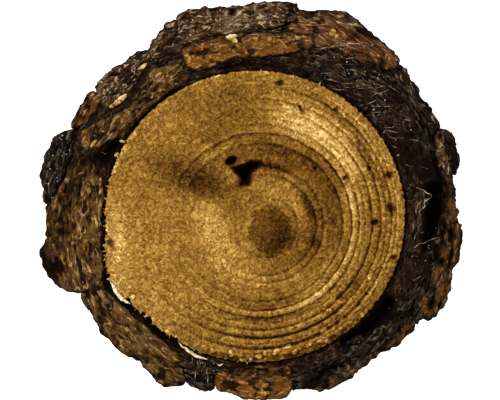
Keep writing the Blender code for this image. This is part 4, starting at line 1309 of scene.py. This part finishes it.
def scraps_piece(kind, shape):
    """The scraps of one kind, as one piece."""
    mesh = bpy.data.meshes.new(f"scraps_{kind}")
    shape.to_mesh(mesh)
    shape.free()
    piece = finished_object(f"scraps_{kind}", mesh, scrap_finish(kind))
    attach(piece, "root")
    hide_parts("bark")


shapes = {kind: bmesh.new() for kind in SCRAP_KINDS}
for number, (kind, x, y, half_length, half_width, half_height, tilt) in enumerate(FLAKES):
    spot = Vector((x * MM, y * MM, float(bark_height(x * MM, y * MM)) + 0.25 * half_height * MM))
    half_sizes = (half_length * MM, half_width * MM, half_height * MM)
    scrap(shapes[kind], spot, half_sizes, tilt, FLAKE_LEAN, FLAKE_DETAIL, 3.0 * number)
draws = np.random.default_rng(12)
for amount, low, high, nearest, furthest, size in GRAINS:
    for _ in range(amount):
        angle = math.radians(draws.uniform(low, high))
        reach = wood_radius(angle) + draws.uniform(nearest, furthest) * MM
        spot = Vector((reach * math.cos(angle), reach * math.sin(angle), 0))
        half_sizes = draws.uniform(0.4, 1.0, 3) * size * MM
        tilt, seed = draws.uniform(0, 180), draws.uniform(0, 90)
        spot.z = float(bark_height(spot.x, spot.y)) + 0.1 * MM
        if spot.z > CARRYING_HEIGHT:
            scrap(shapes["ash"], spot, half_sizes.tolist(), tilt, GRAIN_LEAN, GRAIN_DETAIL, seed)
for kind, shape in shapes.items():
    scraps_piece(kind, shape)

# The floor and the light
# A light table, white and lit from below so that no shadow shows on it. A black card under the
# slice keeps its light out of the cracks. Broad soft lights hang above, in a pale room.
FLOOR_SIZE = 4.0
CARD_CORNERS = 96
CARD_HEIGHT = 0.02 * MM
CARD_BLACK = (0.002, 0.002, 0.002, 1)
TABLE_WHITE = (0.93, 0.93, 0.93, 1)
TABLE_GLOW = 0.8
ROOM_BRIGHTNESS = 0.55
# Each light: where it hangs, in metres, the side of its square and its power in watts
LIGHTS = {
    "key_light": ((-0.55, 0.50, 0.80), 0.45, 14),
    "fill_light": ((0.70, -0.45, 0.80), 0.9, 6),
}

floor_mesh = bpy.data.meshes.new("floor")
half = FLOOR_SIZE / 2
floor_mesh.from_pydata(
    [(-half, -half, 0), (half, -half, 0), (half, half, 0), (-half, half, 0)], [], [(0, 1, 2, 3)]
)
table = Finish("lit_white", 0.9)
table.shader.inputs["Emission Color"].default_value = (1, 1, 1, 1)
table.shader.inputs["Emission Strength"].default_value = TABLE_GLOW
floor = finished_object("floor", floor_mesh, table.colour(TABLE_WHITE))
turn = np.arange(CARD_CORNERS) / CARD_CORNERS * math.tau
card_rim = CORE_CENTRE + CORE_HALF_SIZE * np.column_stack((np.cos(turn), np.sin(turn)))
card_mesh = bpy.data.meshes.new("card")
card_mesh.from_pydata([(x, y, CARD_HEIGHT) for x, y in card_rim.tolist()], [], [range(CARD_CORNERS)])
card = finished_object("card", card_mesh, Finish("black_card", 0.9).colour(CARD_BLACK))


def soft_light(name, place, size, power):
    """A square soft light that looks at the slice."""
    lamp = bpy.data.lights.new(name, "AREA")
    lamp.size = size
    lamp.energy = power
    made = bpy.data.objects.new(name, lamp)
    made.location = place
    made.rotation_euler = Vector(place).to_track_quat("Z", "Y").to_euler()
    bpy.context.scene.collection.objects.link(made)


for name, light in LIGHTS.items():
    soft_light(name, *light)
room = bpy.data.worlds.new("pale_room")
room.use_nodes = True
room.node_tree.nodes["Background"].inputs["Color"].default_value = (1, 1, 1, 1)
room.node_tree.nodes["Background"].inputs["Strength"].default_value = ROOM_BRIGHTNESS
bpy.context.scene.world = room
bpy.context.scene.view_settings.view_transform = "Standard"
